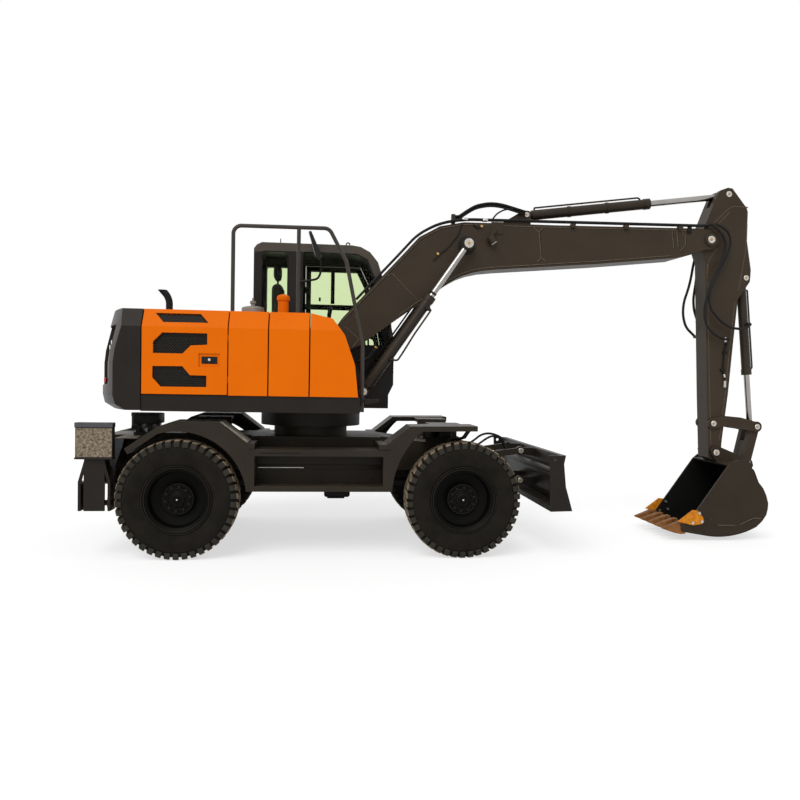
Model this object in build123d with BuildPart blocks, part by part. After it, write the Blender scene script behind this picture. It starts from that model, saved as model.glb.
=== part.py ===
from build123d import *
from math import cos, hypot, radians, sin, tan
import os

# Wheeled excavator, millimetres, X forward, Y to its left, Z up.
# The origin is the middle of its bounding box, on the ground.

# Driving sizes of the undercarriage, lengths along it measured from the rear axle
rear_axle_x = -2452.5
wheelbase = 2450.0
tyre_radius = 509.0
tyre_width = 256.0
wheel_y = 894.0
kingpin_y = 735.0
side_y = 1000.0
fender_top = 1171.0
fender_inner_y = 640.0
frame_half_width = 450.0
frame_top = 1013.0
beam_half_length = 690.0
leg_outer_gap = 270.0
blade_half_width = 1074.0
blade_top = 914.0

# Driving sizes of the upper part
swing_from_rear_axle = 1100.0
tail_radius = 1910.0
deck_bottom = 1255.0
deck_top = 1395.0
hood_top_z = 2116.0
shoulder_drop = 151.0
shoulder_z = hood_top_z - shoulder_drop
shoulder_y = 900.0
panel_gap = 5.0
panel = 40.0
cab_inner_y = 302.0
cab_outer_y = 1030.0
cab_roof = 2925.0
cab_wall = 40.0
glass = 6.0

# Half widths of the working equipment, from the middle plane outwards
boom_half = 140.0
arm_half = 105.0
bucket_half = 367.0
bucket_wall = 18.0
lift_y = 240.0

# Clearances
pin_fit = 0.5
side_fit = 0.5
moving_gap = 6.0
spigot_radius = 300.0
spigot_depth = 60.0
seat = 0.3

# Places in side view, each (x, z)
front_axle_x = rear_axle_x + wheelbase
swing_x = rear_axle_x + swing_from_rear_axle
boom_foot = (swing_x + 200.0, 1850.0)
arm_pivot = (boom_foot[0] + 3820.0, boom_foot[1] + 1185.0)
bucket_pin = (arm_pivot[0] + 128.0, arm_pivot[1] - 2172.0)
lift_foot = (swing_x + 500.0, 1433.0)
lift_eye = (boom_foot[0] + 1297.0, boom_foot[1] + 1036.0)
crowd_foot = (boom_foot[0] + 1920.0, boom_foot[1] + 1379.0)
crowd_eye = (arm_pivot[0] + 205.0, arm_pivot[1] + 481.0)
tilt_foot = (arm_pivot[0] + 417.0, arm_pivot[1] - 368.0)
rocker_pin = (arm_pivot[0] + 87.0, arm_pivot[1] - 1873.0)
rocker_outer = (rocker_pin[0] + 478.0, rocker_pin[1] - 28.0)
link_pin = (bucket_pin[0] + 349.0, bucket_pin[1] - 109.0)
link_run_x = 555.0
link_rise = 78.0
blade_low_pin = (front_axle_x + 698.0, 593.0)
blade_high_pin = (blade_low_pin[0], 883.0)
nose_low_pin = (blade_low_pin[0] - link_run_x, blade_low_pin[1] - link_rise)
nose_high_pin = (blade_high_pin[0] - link_run_x, blade_high_pin[1] - link_rise)
lashing_eye = (blade_high_pin[0] + 90.0, 884.0)
lashing_eye_radius = 16.0
blade_foot = (front_axle_x + 250.0, 900.0)
blade_eye = (nose_low_pin[0] + 387.0, nose_low_pin[1] + 54.0)

# Places in end view, each (y, z), for the left outrigger and mirrored for the right one
leg_x = rear_axle_x - 680.0
leg_pivot = (beam_half_length + 110.0, 455.0)
leg_foot = (beam_half_length - 360.0, 900.0)
leg_eye = (leg_pivot[0] + 35.0, leg_pivot[1] + 245.0)


def side(place, y=0.0):
    # Upright plane seen from the right side, measured from a place (x, z)
    return Plane(origin=(place[0], y, place[1]), x_dir=(1, 0, 0), z_dir=(0, -1, 0))


def cross(x):
    # Upright plane across the machine, its x along Y and its y along Z
    return Plane(origin=(x, 0, 0), x_dir=(0, 1, 0), z_dir=(1, 0, 0))


def plate(plane, outline, thickness, mode=Mode.ADD):
    # Plate of straight edges, its middle on the plane
    with BuildSketch(plane) as face:
        with BuildLine():
            Polyline(*outline, close=True)
        make_face()
    extrude(face.sketch, amount=thickness / 2, both=True, mode=mode)


def arched(plane, outline, through, thickness):
    # Plate of straight edges, closed from its last corner to its first by an arc through one more point
    with BuildSketch(plane) as face:
        with BuildLine():
            Polyline(*outline)
            ThreePointArc(outline[-1], through, outline[0])
        make_face()
    extrude(face.sketch, amount=thickness / 2, both=True)


def slab(plane, outline, thickness, mode=Mode.ADD):
    # Plate of straight edges, grown from the plane along its normal
    with BuildSketch(plane) as face:
        with BuildLine():
            Polyline(*outline, close=True)
        make_face()
    extrude(face.sketch, amount=thickness, mode=mode)


def block(low, high, mode=Mode.ADD):
    # Square block between two corners
    with BuildSketch(Plane.XY.offset(low[2])) as face:
        with Locations(((low[0] + high[0]) / 2, (low[1] + high[1]) / 2)):
            Rectangle(high[0] - low[0], high[1] - low[1])
    extrude(face.sketch, amount=high[2] - low[2], mode=mode)


def pole(start, end, radius, mode=Mode.ADD):
    # Round bar between two points
    run = Vector(*end) - Vector(*start)
    with BuildSketch(Plane(origin=start, z_dir=run)) as disc:
        Circle(radius)
    extrude(disc.sketch, amount=run.length, mode=mode)


def drum(place, y_low, y_high, radius, mode=Mode.ADD):
    # Round bar across the machine at a place (x, z)
    pole((place[0], y_low, place[1]), (place[0], y_high, place[1]), radius, mode)


def toward(start, end, reach):
    # Place at a distance from start on the way to end
    span = hypot(end[0] - start[0], end[1] - start[1])
    return (start[0] + (end[0] - start[0]) * reach / span, start[1] + (end[1] - start[1]) * reach / span)


def cylinder_barrel(foot, eye, y, length, radius, bore, eye_radius, eye_half, pin_radius):
    # Hydraulic barrel in side view, open for its rod, with an eye at its foot
    start = toward(foot, eye, eye_radius + 14.0)
    inner = toward(foot, eye, eye_radius + 34.0)
    collar = toward(foot, eye, length - 60.0)
    end = toward(foot, eye, length)
    pole((foot[0], y, foot[1]), (inner[0], y, inner[1]), eye_half)
    pole((start[0], y, start[1]), (end[0], y, end[1]), radius)
    pole((collar[0], y, collar[1]), (end[0], y, end[1]), radius + 5.0)
    drum(foot, y - eye_half, y + eye_half, eye_radius)
    pole((inner[0], y, inner[1]), (end[0], y, end[1]), bore, Mode.SUBTRACT)
    drum(foot, y - eye_half - 1.0, y + eye_half + 1.0, pin_radius + pin_fit, Mode.SUBTRACT)


def piston_rod(foot, eye, y, start, radius, eye_radius, eye_half):
    # Bright rod from inside its barrel to its closed eye
    inner = toward(foot, eye, start)
    pole((inner[0], y, inner[1]), (eye[0], y, eye[1]), radius)
    drum(eye, y - eye_half, y + eye_half, eye_radius)


def hose(points, radius, bends):
    # Round hose or bent tube through points (x, y, z), with the radius of each bend
    with BuildLine(mode=Mode.PRIVATE) as route:
        FilletPolyline(*points, radius=bends)
    with BuildSketch(Plane(origin=points[0], z_dir=Vector(*points[1]) - Vector(*points[0]))) as ring:
        Circle(radius)
    sweep(ring.sketch, path=route.line)


def bend_radii(points):
    # The largest even radius at each corner of a route
    radii = []
    for before, corner, after in zip(points, points[1:], points[2:]):
        into = Vector(*corner) - Vector(*before)
        out = Vector(*after) - Vector(*corner)
        half_turn = radians(into.get_angle(out)) / 2
        radii.append(0.45 * min(into.length, out.length) / tan(half_turn))
    return radii


def turned(place, profile):
    # Round body about an upright axis at a place (x, y, z), its profile (out, up) from there
    with BuildSketch(Plane(origin=place, x_dir=(1, 0, 0), z_dir=(0, -1, 0))) as section:
        with BuildLine():
            Polyline(*profile, close=True)
        make_face()
    revolve(section.sketch, axis=Axis(place, (0, 0, 1)))


os.makedirs("parts", exist_ok=True)
both_sides = (("right", -1), ("left", 1))

# Chassis frame: middle box, narrow beams over the axles, pedestal, nose and its ears for the blade
rail_half = 300.0
nose_half = 225.0
frame_bottom = 690.0
rail_end = wheelbase + 90.0
nose_end = wheelbase + 210.0
pedestal_radius = 354.0
pedestal_top = 1100.0
ear_y = 245.0
ear_plate = 30.0
link_plate = 30.0
link_y = ear_y + ear_plate / 2 + side_fit + link_plate / 2
link_pin_radius = 24.0
with BuildPart() as chassis_frame:
    rail = (
        (-520, frame_bottom), (-520, 1030), (560, frame_top), (wheelbase - 690, frame_top), (wheelbase - 250, 960),
        (rail_end, 940), (rail_end, frame_bottom))
    plate(side((rear_axle_x, 0)), rail, 2 * rail_half)
    nose = ((rail_end - 20, frame_bottom), (rail_end - 20, 940), (nose_end, 900), (nose_end, frame_bottom))
    plate(side((rear_axle_x, 0)), nose, 2 * nose_half)
    middle = ((560, 640), (560, frame_top), (wheelbase - 690, frame_top), (wheelbase - 690, 640))
    plate(side((rear_axle_x, 0)), middle, 2 * frame_half_width)
    pole((swing_x, 0, frame_top - 20.0), (swing_x, 0, pedestal_top), pedestal_radius)
    for hand in (-1, 1):
        ear = (
            (rail_end - 10, 700), (rail_end + 5, 470), (rail_end + 95, 470), (nose_end - 25, 700), (nose_end - 20, 850),
            (rail_end - 10, 850))
        plate(side((rear_axle_x, 0), hand * ear_y), ear, ear_plate)
        cheek_near = min(hand * 215, hand * 235)
        block((rear_axle_x + rail_end - 20, cheek_near, 700), (rear_axle_x + nose_end - 30, cheek_near + 20, 840))
        for pin in (nose_low_pin, nose_high_pin):
            drum(pin, hand * ear_y - ear_plate / 2, hand * ear_y + ear_plate / 2, 40.0)
            drum(pin, min(hand * ear_y, hand * (link_y + 20)), max(hand * ear_y, hand * (link_y + 20)), link_pin_radius)
        lug = (
            (nose_end - 60, 860), (nose_end - 20, 930), (nose_end + 40, 936), (nose_end + 72, 920), (nose_end + 72, 880),
            (nose_end + 30, 850))
        plate(side((rear_axle_x, 0), hand * 48.0), lug, 24.0)
    drum(blade_foot, -62.0, 62.0, 20.0)
    bore_floor = pedestal_top - spigot_depth - moving_gap
    pole((swing_x, 0, bore_floor), (swing_x, 0, pedestal_top + moving_gap), spigot_radius + pin_fit, Mode.SUBTRACT)
chassis_frame.part.label = "chassis_frame"
export_step(chassis_frame.part, "parts/chassis_frame.step")

# Outrigger beam across the tail, with forks for the legs and lugs for their cylinders
beam_half_depth = 110.0
beam_low = 560.0
beam_high = 1000.0
beam_wall = 30.0
beam_core = 250.0
with BuildPart() as outrigger_beam:
    block((leg_x - beam_half_depth, -beam_half_length, beam_low), (leg_x + beam_half_depth, beam_half_length, beam_high))
    block((leg_x + beam_half_depth, -rail_half, 760.0), (rear_axle_x - 520.0, rail_half, beam_high))
    for hand in (-1, 1):
        room_near = min(hand * beam_core, hand * (beam_half_length + 10))
        room_far = max(hand * beam_core, hand * (beam_half_length + 10))
        room_half = beam_half_depth - beam_wall
        block((leg_x - room_half, room_near, beam_low - 10), (leg_x + room_half, room_far, beam_high + 10), Mode.SUBTRACT)
        for ear_x in (leg_x - beam_half_depth + beam_wall / 2, leg_x + beam_half_depth - beam_wall / 2):
            tip = leg_pivot[0]
            fork = (
                (hand * (tip - 200), 760), (hand * (tip - 200), beam_low), (hand * (tip - 70), 400),
                (hand * (tip + 30), 395), (hand * (tip + 65), 430), (hand * (tip + 60), 500), (hand * (tip - 110), 760))
            plate(cross(ear_x), fork, beam_wall)
            pole((ear_x, hand * leg_foot[0], leg_foot[1]), (leg_x, hand * leg_foot[0], leg_foot[1]), 20.0)
        pole((leg_x - 140, hand * leg_pivot[0], leg_pivot[1]), (leg_x + 140, hand * leg_pivot[0], leg_pivot[1]), 24.0)
outrigger_beam.part.label = "outrigger_beam"
export_step(outrigger_beam.part, "parts/outrigger_beam.step")

# Fenders and side steps, a pair of each
fender_plate = 45.0
fender_web = 12.0
arch_radius = tyre_radius + 69.0
step_low = 581.0
step_high = 940.0
step_rear = rear_axle_x + 580.0
step_front = front_axle_x - 650.0


def arch(run, turn):
    # Point on the arch over a rear wheel, by its run along the machine or its turn above level
    if turn is None:
        return (run, tyre_radius + (arch_radius ** 2 - run ** 2) ** 0.5)
    return (arch_radius * cos(radians(turn)), tyre_radius + arch_radius * sin(radians(turn)))


with BuildPart() as fenders_rear:
    web_end = step_rear - seat - rear_axle_x
    foot_run = (arch_radius ** 2 - (step_low - tyre_radius) ** 2) ** 0.5
    rear_web = (
        arch(-160, None), (-160, 1120), (-40, fender_top - 10), (345, fender_top - 10), (web_end, 980), (web_end, step_low),
        (foot_run, step_low))
    for name, hand in both_sides:
        arched(side((rear_axle_x, 0), hand * (side_y - fender_web / 2)), rear_web, arch(0, 45), fender_web)
        top = ((-430, 940), (-160, 1128), (-40, fender_top), (345, fender_top), (585, 990), (640, 990))
        under = (
            (640, 945), (566, 945), (330, fender_top - fender_plate), (-25, fender_top - fender_plate), (-140, 1080),
            (-405, 895))
        plate(side((rear_axle_x, 0), hand * (side_y + fender_inner_y) / 2), top + under, side_y - fender_inner_y)
        bars = ((560, 640, 450, 660, 950, 985), (-40, 300, 300, 660, 1126, 1150), (-40, 300, 300, 330, 940, 1150))
        for x_low, x_high, y_in, y_out, z_low, z_high in bars:
            near = min(hand * y_in, hand * y_out)
            block((rear_axle_x + x_low, near, z_low), (rear_axle_x + x_high, near + y_out - y_in, z_high))
fenders_rear.part.label = "fenders_rear"
export_step(fenders_rear.part, "parts/fenders_rear.step")

with BuildPart() as fenders_front:
    web_end = step_front + seat - front_axle_x
    front_web = ((-365, 1112), (-365, 1140), (-470, 1140), (web_end, 1000), (web_end, step_low), (web_end + 20, step_low))
    for name, hand in both_sides:
        arched(side((front_axle_x, 0), hand * (side_y - fender_web / 2)), front_web, (-563, 857), fender_web)
        top = ((-750, 990), (-682, 990), (-476, 1151), (114, 1158))
        under = ((114, 1113), (-460, 1106), (-660, 945), (-750, 945))
        plate(side((front_axle_x, 0), hand * (side_y + fender_inner_y) / 2), top + under, side_y - fender_inner_y)
        bars = ((-750, -690, 450, 660, 950, 985), (-250, 50, 300, 660, 1115, 1150), (-250, 50, 300, 330, 860, 1150))
        for x_low, x_high, y_in, y_out, z_low, z_high in bars:
            near = min(hand * y_in, hand * y_out)
            block((front_axle_x + x_low, near, z_low), (front_axle_x + x_high, near + y_out - y_in, z_high))
fenders_front.part.label = "fenders_front"
export_step(fenders_front.part, "parts/fenders_front.step")

with BuildPart() as side_steps:
    for name, hand in both_sides:
        near = min(hand * side_y, hand * 700)
        far = max(hand * side_y, hand * 700)
        block((step_rear, near, step_high - 55), (step_front, far, step_high))
        block((step_rear, near, step_low), (step_front, far, step_low + 45))
        for post_x in (step_rear, step_front - 60):
            block((post_x, near, step_low), (post_x + 60, far, step_high))
        back_near = min(hand * 700, hand * 720)
        block((step_rear, back_near, step_low), (step_front, back_near + 20, step_high))
        tie_near = min(hand * (frame_half_width + seat), hand * 710)
        tie_far = max(hand * (frame_half_width + seat), hand * 710)
        for tie_x in (step_rear + 120, step_front - 200):
            block((tie_x, tie_near, 700), (tie_x + 60, tie_far, 860))
side_steps.part.label = "side_steps"
export_step(side_steps.part, "parts/side_steps.step")

# Axles, with the gearbox and shafts between them
hub_bore = 58.0
kingpin_radius = 24.0
gearbox_rear = (rear_axle_x + 1225.0, 585.0)
gearbox_front = (rear_axle_x + 1475.0, 585.0)
with BuildPart() as rear_axle:
    pole((rear_axle_x, -wheel_y + 60, tyre_radius), (rear_axle_x, wheel_y - 60, tyre_radius), hub_bore - seat)
    pole((rear_axle_x, -720, tyre_radius), (rear_axle_x, 720, tyre_radius), 85.0)
    for hand in (-1, 1):
        pole((rear_axle_x, hand * 700, tyre_radius), (rear_axle_x, hand * 745, tyre_radius), 150.0)
        perch = min(hand * 230, hand * 290)
        block((rear_axle_x - 90, perch, 540), (rear_axle_x + 90, perch + 60, frame_bottom - seat))
    with BuildSketch(Plane.XZ.offset(-110)) as bulge:
        with Locations((rear_axle_x, tyre_radius)):
            Circle(170.0)
    extrude(bulge.sketch, amount=220.0)
    nose = toward((rear_axle_x, tyre_radius), gearbox_rear, 260.0)
    pole((rear_axle_x, 0, tyre_radius), (nose[0], 0, nose[1]), 70.0)
rear_axle.part.label = "rear_axle"
export_step(rear_axle.part, "parts/rear_axle.step")

with BuildPart() as front_axle:
    pole((front_axle_x, -640, tyre_radius), (front_axle_x, 640, tyre_radius), 80.0)
    with BuildSketch(Plane.XZ.offset(-110)) as bulge:
        with Locations((front_axle_x, tyre_radius)):
            Circle(165.0)
    extrude(bulge.sketch, amount=220.0)
    nose = toward((front_axle_x, tyre_radius), gearbox_front, 260.0)
    pole((front_axle_x, 0, tyre_radius), (nose[0], 0, nose[1]), 70.0)
    block((front_axle_x - 80, -120, 560), (front_axle_x + 80, 120, frame_bottom - seat))
    for hand in (-1, 1):
        for level in (tyre_radius + 90, tyre_radius - 130):
            fork_near = min(hand * 600, hand * 790)
            block((front_axle_x - 60, fork_near, level), (front_axle_x + 60, fork_near + 190, level + 40))
        root = min(hand * 600, hand * 650)
        block((front_axle_x - 70, root, tyre_radius - 130), (front_axle_x + 70, root + 50, tyre_radius + 130))
        pin_y = hand * kingpin_y
        pole((front_axle_x, pin_y, tyre_radius - 140), (front_axle_x, pin_y, tyre_radius + 140), kingpin_radius)
front_axle.part.label = "front_axle"
export_step(front_axle.part, "parts/front_axle.step")

with BuildPart() as driveline:
    block((gearbox_rear[0], -130, 530), (gearbox_front[0], 130, 640 - seat))
    for axle, gearbox in ((rear_axle_x, gearbox_rear), (front_axle_x, gearbox_front)):
        shaft_end = toward((axle, tyre_radius), gearbox, 260.0 + side_fit)
        inside = toward(gearbox, (axle, tyre_radius), -20.0)
        pole((shaft_end[0], 0, shaft_end[1]), (inside[0], 0, inside[1]), 38.0)
driveline.part.label = "driveline"
export_step(driveline.part, "parts/driveline.step")

# Steering knuckles inside the forks of the front axle
for name, hand in both_sides:
    with BuildPart() as knuckle:
        pin_y = hand * kingpin_y
        kingpin_bore = kingpin_radius + pin_fit
        pole((front_axle_x, pin_y, tyre_radius - 85), (front_axle_x, pin_y, tyre_radius + 85), 2 * kingpin_radius)
        pole((front_axle_x, pin_y, tyre_radius), (front_axle_x, hand * (wheel_y - 60), tyre_radius), hub_bore - seat)
        pole((front_axle_x, pin_y, tyre_radius - 86), (front_axle_x, pin_y, tyre_radius + 86), kingpin_bore, Mode.SUBTRACT)
    knuckle.part.label = f"knuckle_{name}"
    export_step(knuckle.part, f"parts/knuckle_{name}.step")

# Wheels: a deep dished rim and a tyre on it
rim_seat_radius = 262.0
wheels = (
    ("front_right", front_axle_x, -1), ("front_left", front_axle_x, 1), ("rear_right", rear_axle_x, -1),
    ("rear_left", rear_axle_x, 1))
for name, wheel_x, hand in wheels:
    hub = Plane(origin=(wheel_x, hand * wheel_y, tyre_radius), x_dir=(1, 0, 0), z_dir=(0, hand, 0))
    with BuildPart() as rim:
        with BuildSketch(Plane(origin=hub.origin, x_dir=(0, hand, 0), z_dir=(1, 0, 0))) as section:
            with BuildLine():
                Polyline(
                    (-118, 292), (-100, 292), (-88, rim_seat_radius), (88, rim_seat_radius), (100, 292), (118, 292),
                    (118, 278), (96, 240), (20, 226), (-4, 130), (44, 130), (44, 70), (20, hub_bore), (-70, hub_bore),
                    (-70, 118), (-30, 130), (-16, 226), (-60, 244), (-118, 278), close=True)
            make_face()
        revolve(section.sketch, axis=Axis(hub.origin, (0, 1, 0)))
    rim.part.label = f"rim_{name}"
    export_step(rim.part, f"parts/rim_{name}.step")

    with BuildPart() as tyre:
        half = tyre_width / 2
        with BuildSketch(Plane(origin=hub.origin, x_dir=(0, hand, 0), z_dir=(1, 0, 0))) as section:
            with BuildLine():
                Polyline(
                    (-87, rim_seat_radius + seat), (-99, 293), (-116, 310), (-half, 380), (-half + 4, 450),
                    (-half + 26, 497), (-half + 50, tyre_radius), (half - 50, tyre_radius), (half - 26, 497),
                    (half - 4, 450), (half, 380), (116, 310), (99, 293), (87, rim_seat_radius + seat), close=True)
            make_face()
        revolve(section.sketch, axis=Axis(hub.origin, (0, 1, 0)))
    tyre.part.label = f"tyre_{name}"
    export_step(tyre.part, f"parts/tyre_{name}.step")

# Blade: curved board with end plates, carried by a pair of lower arms and a pair of upper links
with BuildPart() as blade:
    board = (
        (66, 420), (260, 425), (197, 560), (174, 700), (178, 820), (197, blade_top), (152, blade_top), (128, 820),
        (122, 700), (142, 560), (182, 470), (66, 470))
    plate(side((blade_low_pin[0], 0)), board, 2 * blade_half_width - 30.0)
    drum((blade_low_pin[0] + 98.0, 765.0), -blade_half_width + 15, blade_half_width - 15, 34.0)
    for hand in (-1, 1):
        end_plate = ((46, 913), (169, 914), (197, 640), (260, 425), (66, 420))
        end_y = hand * (blade_half_width - 10)
        plate(side((blade_low_pin[0], 0), end_y), end_plate, 20.0)
        drum(lashing_eye, end_y - 11, end_y + 11, lashing_eye_radius, Mode.SUBTRACT)
        for pin in (blade_low_pin, blade_high_pin):
            level = pin[1]
            lug = ((0, level - 38), (142, level - 50), (142, level + 26), (0, level + 30))
            plate(side((blade_low_pin[0], 0), hand * ear_y), lug, ear_plate)
            drum(pin, hand * ear_y - ear_plate / 2, hand * ear_y + ear_plate / 2, 40.0)
            drum(pin, min(hand * ear_y, hand * (link_y + 20)), max(hand * ear_y, hand * (link_y + 20)), link_pin_radius)
blade.part.label = "blade"
export_step(blade.part, "parts/blade.step")


def link_bar(rear, front, hand, half_height):
    # Flat bar with an eye at each end, on one side of the nose
    run = front[0] - rear[0]
    rise = front[1] - rear[1]
    bar = ((0, -half_height), (0, half_height), (run, rise + half_height), (run, rise - half_height))
    plate(side(rear, hand * link_y), bar, link_plate)
    for pin in (rear, front):
        drum(pin, hand * link_y - link_plate / 2, hand * link_y + link_plate / 2, 42.0)


with BuildPart() as blade_arms:
    for hand in (-1, 1):
        link_bar(nose_low_pin, blade_low_pin, hand, 36.0)
        drum(blade_eye, min(hand * 34.5, hand * link_y), max(hand * 34.5, hand * link_y), 32.0)
        for pin in (nose_low_pin, blade_low_pin):
            drum(pin, hand * link_y - 20, hand * link_y + 20, link_pin_radius + pin_fit, Mode.SUBTRACT)
    drum((nose_low_pin[0] + 207.0, nose_low_pin[1] + 29.0), -link_y, link_y, 26.0)
blade_arms.part.label = "blade_arms"
export_step(blade_arms.part, "parts/blade_arms.step")

with BuildPart() as blade_links:
    for hand in (-1, 1):
        link_bar(nose_high_pin, blade_high_pin, hand, 30.0)
        for pin in (nose_high_pin, blade_high_pin):
            drum(pin, hand * link_y - 20, hand * link_y + 20, link_pin_radius + pin_fit, Mode.SUBTRACT)
blade_links.part.label = "blade_links"
export_step(blade_links.part, "parts/blade_links.step")

with BuildPart() as blade_barrel:
    cylinder_barrel(blade_foot, blade_eye, 0.0, 330.0, 40.0, 24.0 + side_fit, 34.0, 34.0, 20.0)
blade_barrel.part.label = "blade_barrel"
export_step(blade_barrel.part, "parts/blade_barrel.step")

with BuildPart() as blade_rod:
    piston_rod(blade_foot, blade_eye, 0.0, 80.0, 24.0, 34.0, 34.0)
blade_rod.part.label = "blade_rod"
export_step(blade_rod.part, "parts/blade_rod.step")

# Outriggers, folded up beside the tail, each with its cylinder inside the beam
leg_outer = beam_half_length + leg_outer_gap
leg_inner = leg_outer - 80.0
leg_column = 82.0
leg_flare = 131.0
leg_cheek_x = beam_half_depth + side_fit + 9.0
eye_half = 30.0
for name, hand in both_sides:
    with BuildPart() as outrigger_leg:
        column_near = min(hand * leg_inner, hand * leg_outer)
        column_far = max(hand * leg_inner, hand * leg_outer)
        block((leg_x - leg_column, column_near, 640), (leg_x + leg_column, column_far, 900))
        skin = (
            (-leg_flare, 410), (leg_flare, 410), (leg_flare, 655), (leg_column, 833), (-leg_column, 833), (-leg_flare, 655))
        plate(side((leg_x, 0), hand * (leg_outer - 10)), skin, 20.0)
        for cheek in (-1, 1):
            slot = (
                (cheek * (leg_column + 2), 400), (cheek * (leg_flare - 22), 400), (cheek * (leg_flare - 22), 640),
                (cheek * (leg_column + 2), 740))
            plate(side((leg_x, 0), hand * (leg_outer - 10)), slot, 21.0, Mode.SUBTRACT)
            outline = (
                (hand * (leg_pivot[0] - 40), 430), (hand * leg_pivot[0], 405), (hand * leg_outer, 410),
                (hand * leg_outer, 655), (hand * leg_inner, 655), (hand * (leg_pivot[0] - 45), 480))
            plate(cross(leg_x + cheek * leg_cheek_x), outline, 18.0)
            eye_z = leg_eye[1]
            lug_inner = leg_eye[0] - 30
            lug = (
                (hand * leg_eye[0], eye_z - 35), (hand * (leg_inner + 10), eye_z - 50),
                (hand * (leg_inner + 10), eye_z + 50), (hand * leg_eye[0], eye_z + 35), (hand * lug_inner, eye_z + 15),
                (hand * lug_inner, eye_z - 15))
            plate(cross(leg_x + cheek * (eye_half + side_fit + 10.0)), lug, 20.0)
        block((leg_x - 130, column_near, 640), (leg_x + 130, column_far, 656))
        pad_near = min(hand * (leg_outer - 60), hand * (leg_outer + 15))
        block((leg_x - 150, pad_near, 858), (leg_x + 150, pad_near + 75, 1144))
        lip_near = min(hand * (leg_outer - 60), hand * (leg_outer + 25))
        block((leg_x - 154, lip_near, 846), (leg_x + 154, lip_near + 85, 860))
        block((leg_x - 154, lip_near, 1112), (leg_x + 154, lip_near + 85, 1152))
        pin_start = (leg_x - 140, hand * leg_pivot[0], leg_pivot[1])
        pin_end = (leg_x + 140, hand * leg_pivot[0], leg_pivot[1])
        pole(pin_start, pin_end, 24.0 + pin_fit, Mode.SUBTRACT)
    outrigger_leg.part.label = f"outrigger_leg_{name}"
    export_step(outrigger_leg.part, f"parts/outrigger_leg_{name}.step")

    span = hypot(leg_eye[0] - leg_foot[0], leg_eye[1] - leg_foot[1])

    def along(reach):
        # Point on the cylinder's line at a distance from its foot
        share = reach / span
        across = leg_foot[0] + (leg_eye[0] - leg_foot[0]) * share
        return (leg_x, hand * across, leg_foot[1] + (leg_eye[1] - leg_foot[1]) * share)

    with BuildPart() as outrigger_barrel:
        pole(along(0), along(80), eye_half)
        pole(along(50), along(420), 38.0)
        foot_y = hand * leg_foot[0]
        pole((leg_x - eye_half, foot_y, leg_foot[1]), (leg_x + eye_half, foot_y, leg_foot[1]), 34.0)
        pole(along(70), along(420), 22.0 + side_fit, Mode.SUBTRACT)
        pole((leg_x - 40, foot_y, leg_foot[1]), (leg_x + 40, foot_y, leg_foot[1]), 20.0 + pin_fit, Mode.SUBTRACT)
    outrigger_barrel.part.label = f"outrigger_barrel_{name}"
    export_step(outrigger_barrel.part, f"parts/outrigger_barrel_{name}.step")

    with BuildPart() as outrigger_rod:
        pole(along(75), along(span), 22.0)
        eye_y = hand * leg_eye[0]
        pole((leg_x - eye_half, eye_y, leg_eye[1]), (leg_x + eye_half, eye_y, leg_eye[1]), 34.0)
    outrigger_rod.part.label = f"outrigger_rod_{name}"
    export_step(outrigger_rod.part, f"parts/outrigger_rod_{name}.step")

# Upper frame: deck, swing bearing and the brackets that carry the boom and its lift cylinders
bearing_radius = 480.0
bracket_y = 165.0
bracket = 30.0
with BuildPart() as upper_frame:
    deck_rear = -1400 - panel_gap + seat
    deck_side = side_y - 15
    deck = (
        (deck_rear, -deck_side), (430, -deck_side), (430, cab_inner_y), (790, cab_inner_y), (790, side_y),
        (deck_rear, side_y))
    slab(Plane(origin=(swing_x, 0, deck_bottom)), deck, deck_top - deck_bottom)
    pole((swing_x, 0, pedestal_top + moving_gap), (swing_x, 0, deck_bottom + 10), bearing_radius)
    pole((swing_x, 0, pedestal_top - spigot_depth), (swing_x, 0, deck_bottom), spigot_radius)
    for hand in (-1, 1):
        ear = (
            (-120, deck_top - 10), (110, 1880), (150, 1930), (200, 1945), (250, 1930), (285, 1880), (560, 1470), (562, 1400),
            (520, 1370), (380, 1300))
        plate(side((swing_x, 0), hand * bracket_y), ear, bracket)
        pin_inner = min(hand * bracket_y, hand * (lift_y + 34))
        drum(lift_foot, pin_inner, pin_inner + lift_y + 34 - bracket_y, 30.0)
    drum(boom_foot, -bracket_y - 26, bracket_y + 26, 35.0)
upper_frame.part.label = "upper_frame"
export_step(upper_frame.part, "parts/upper_frame.step")

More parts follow.
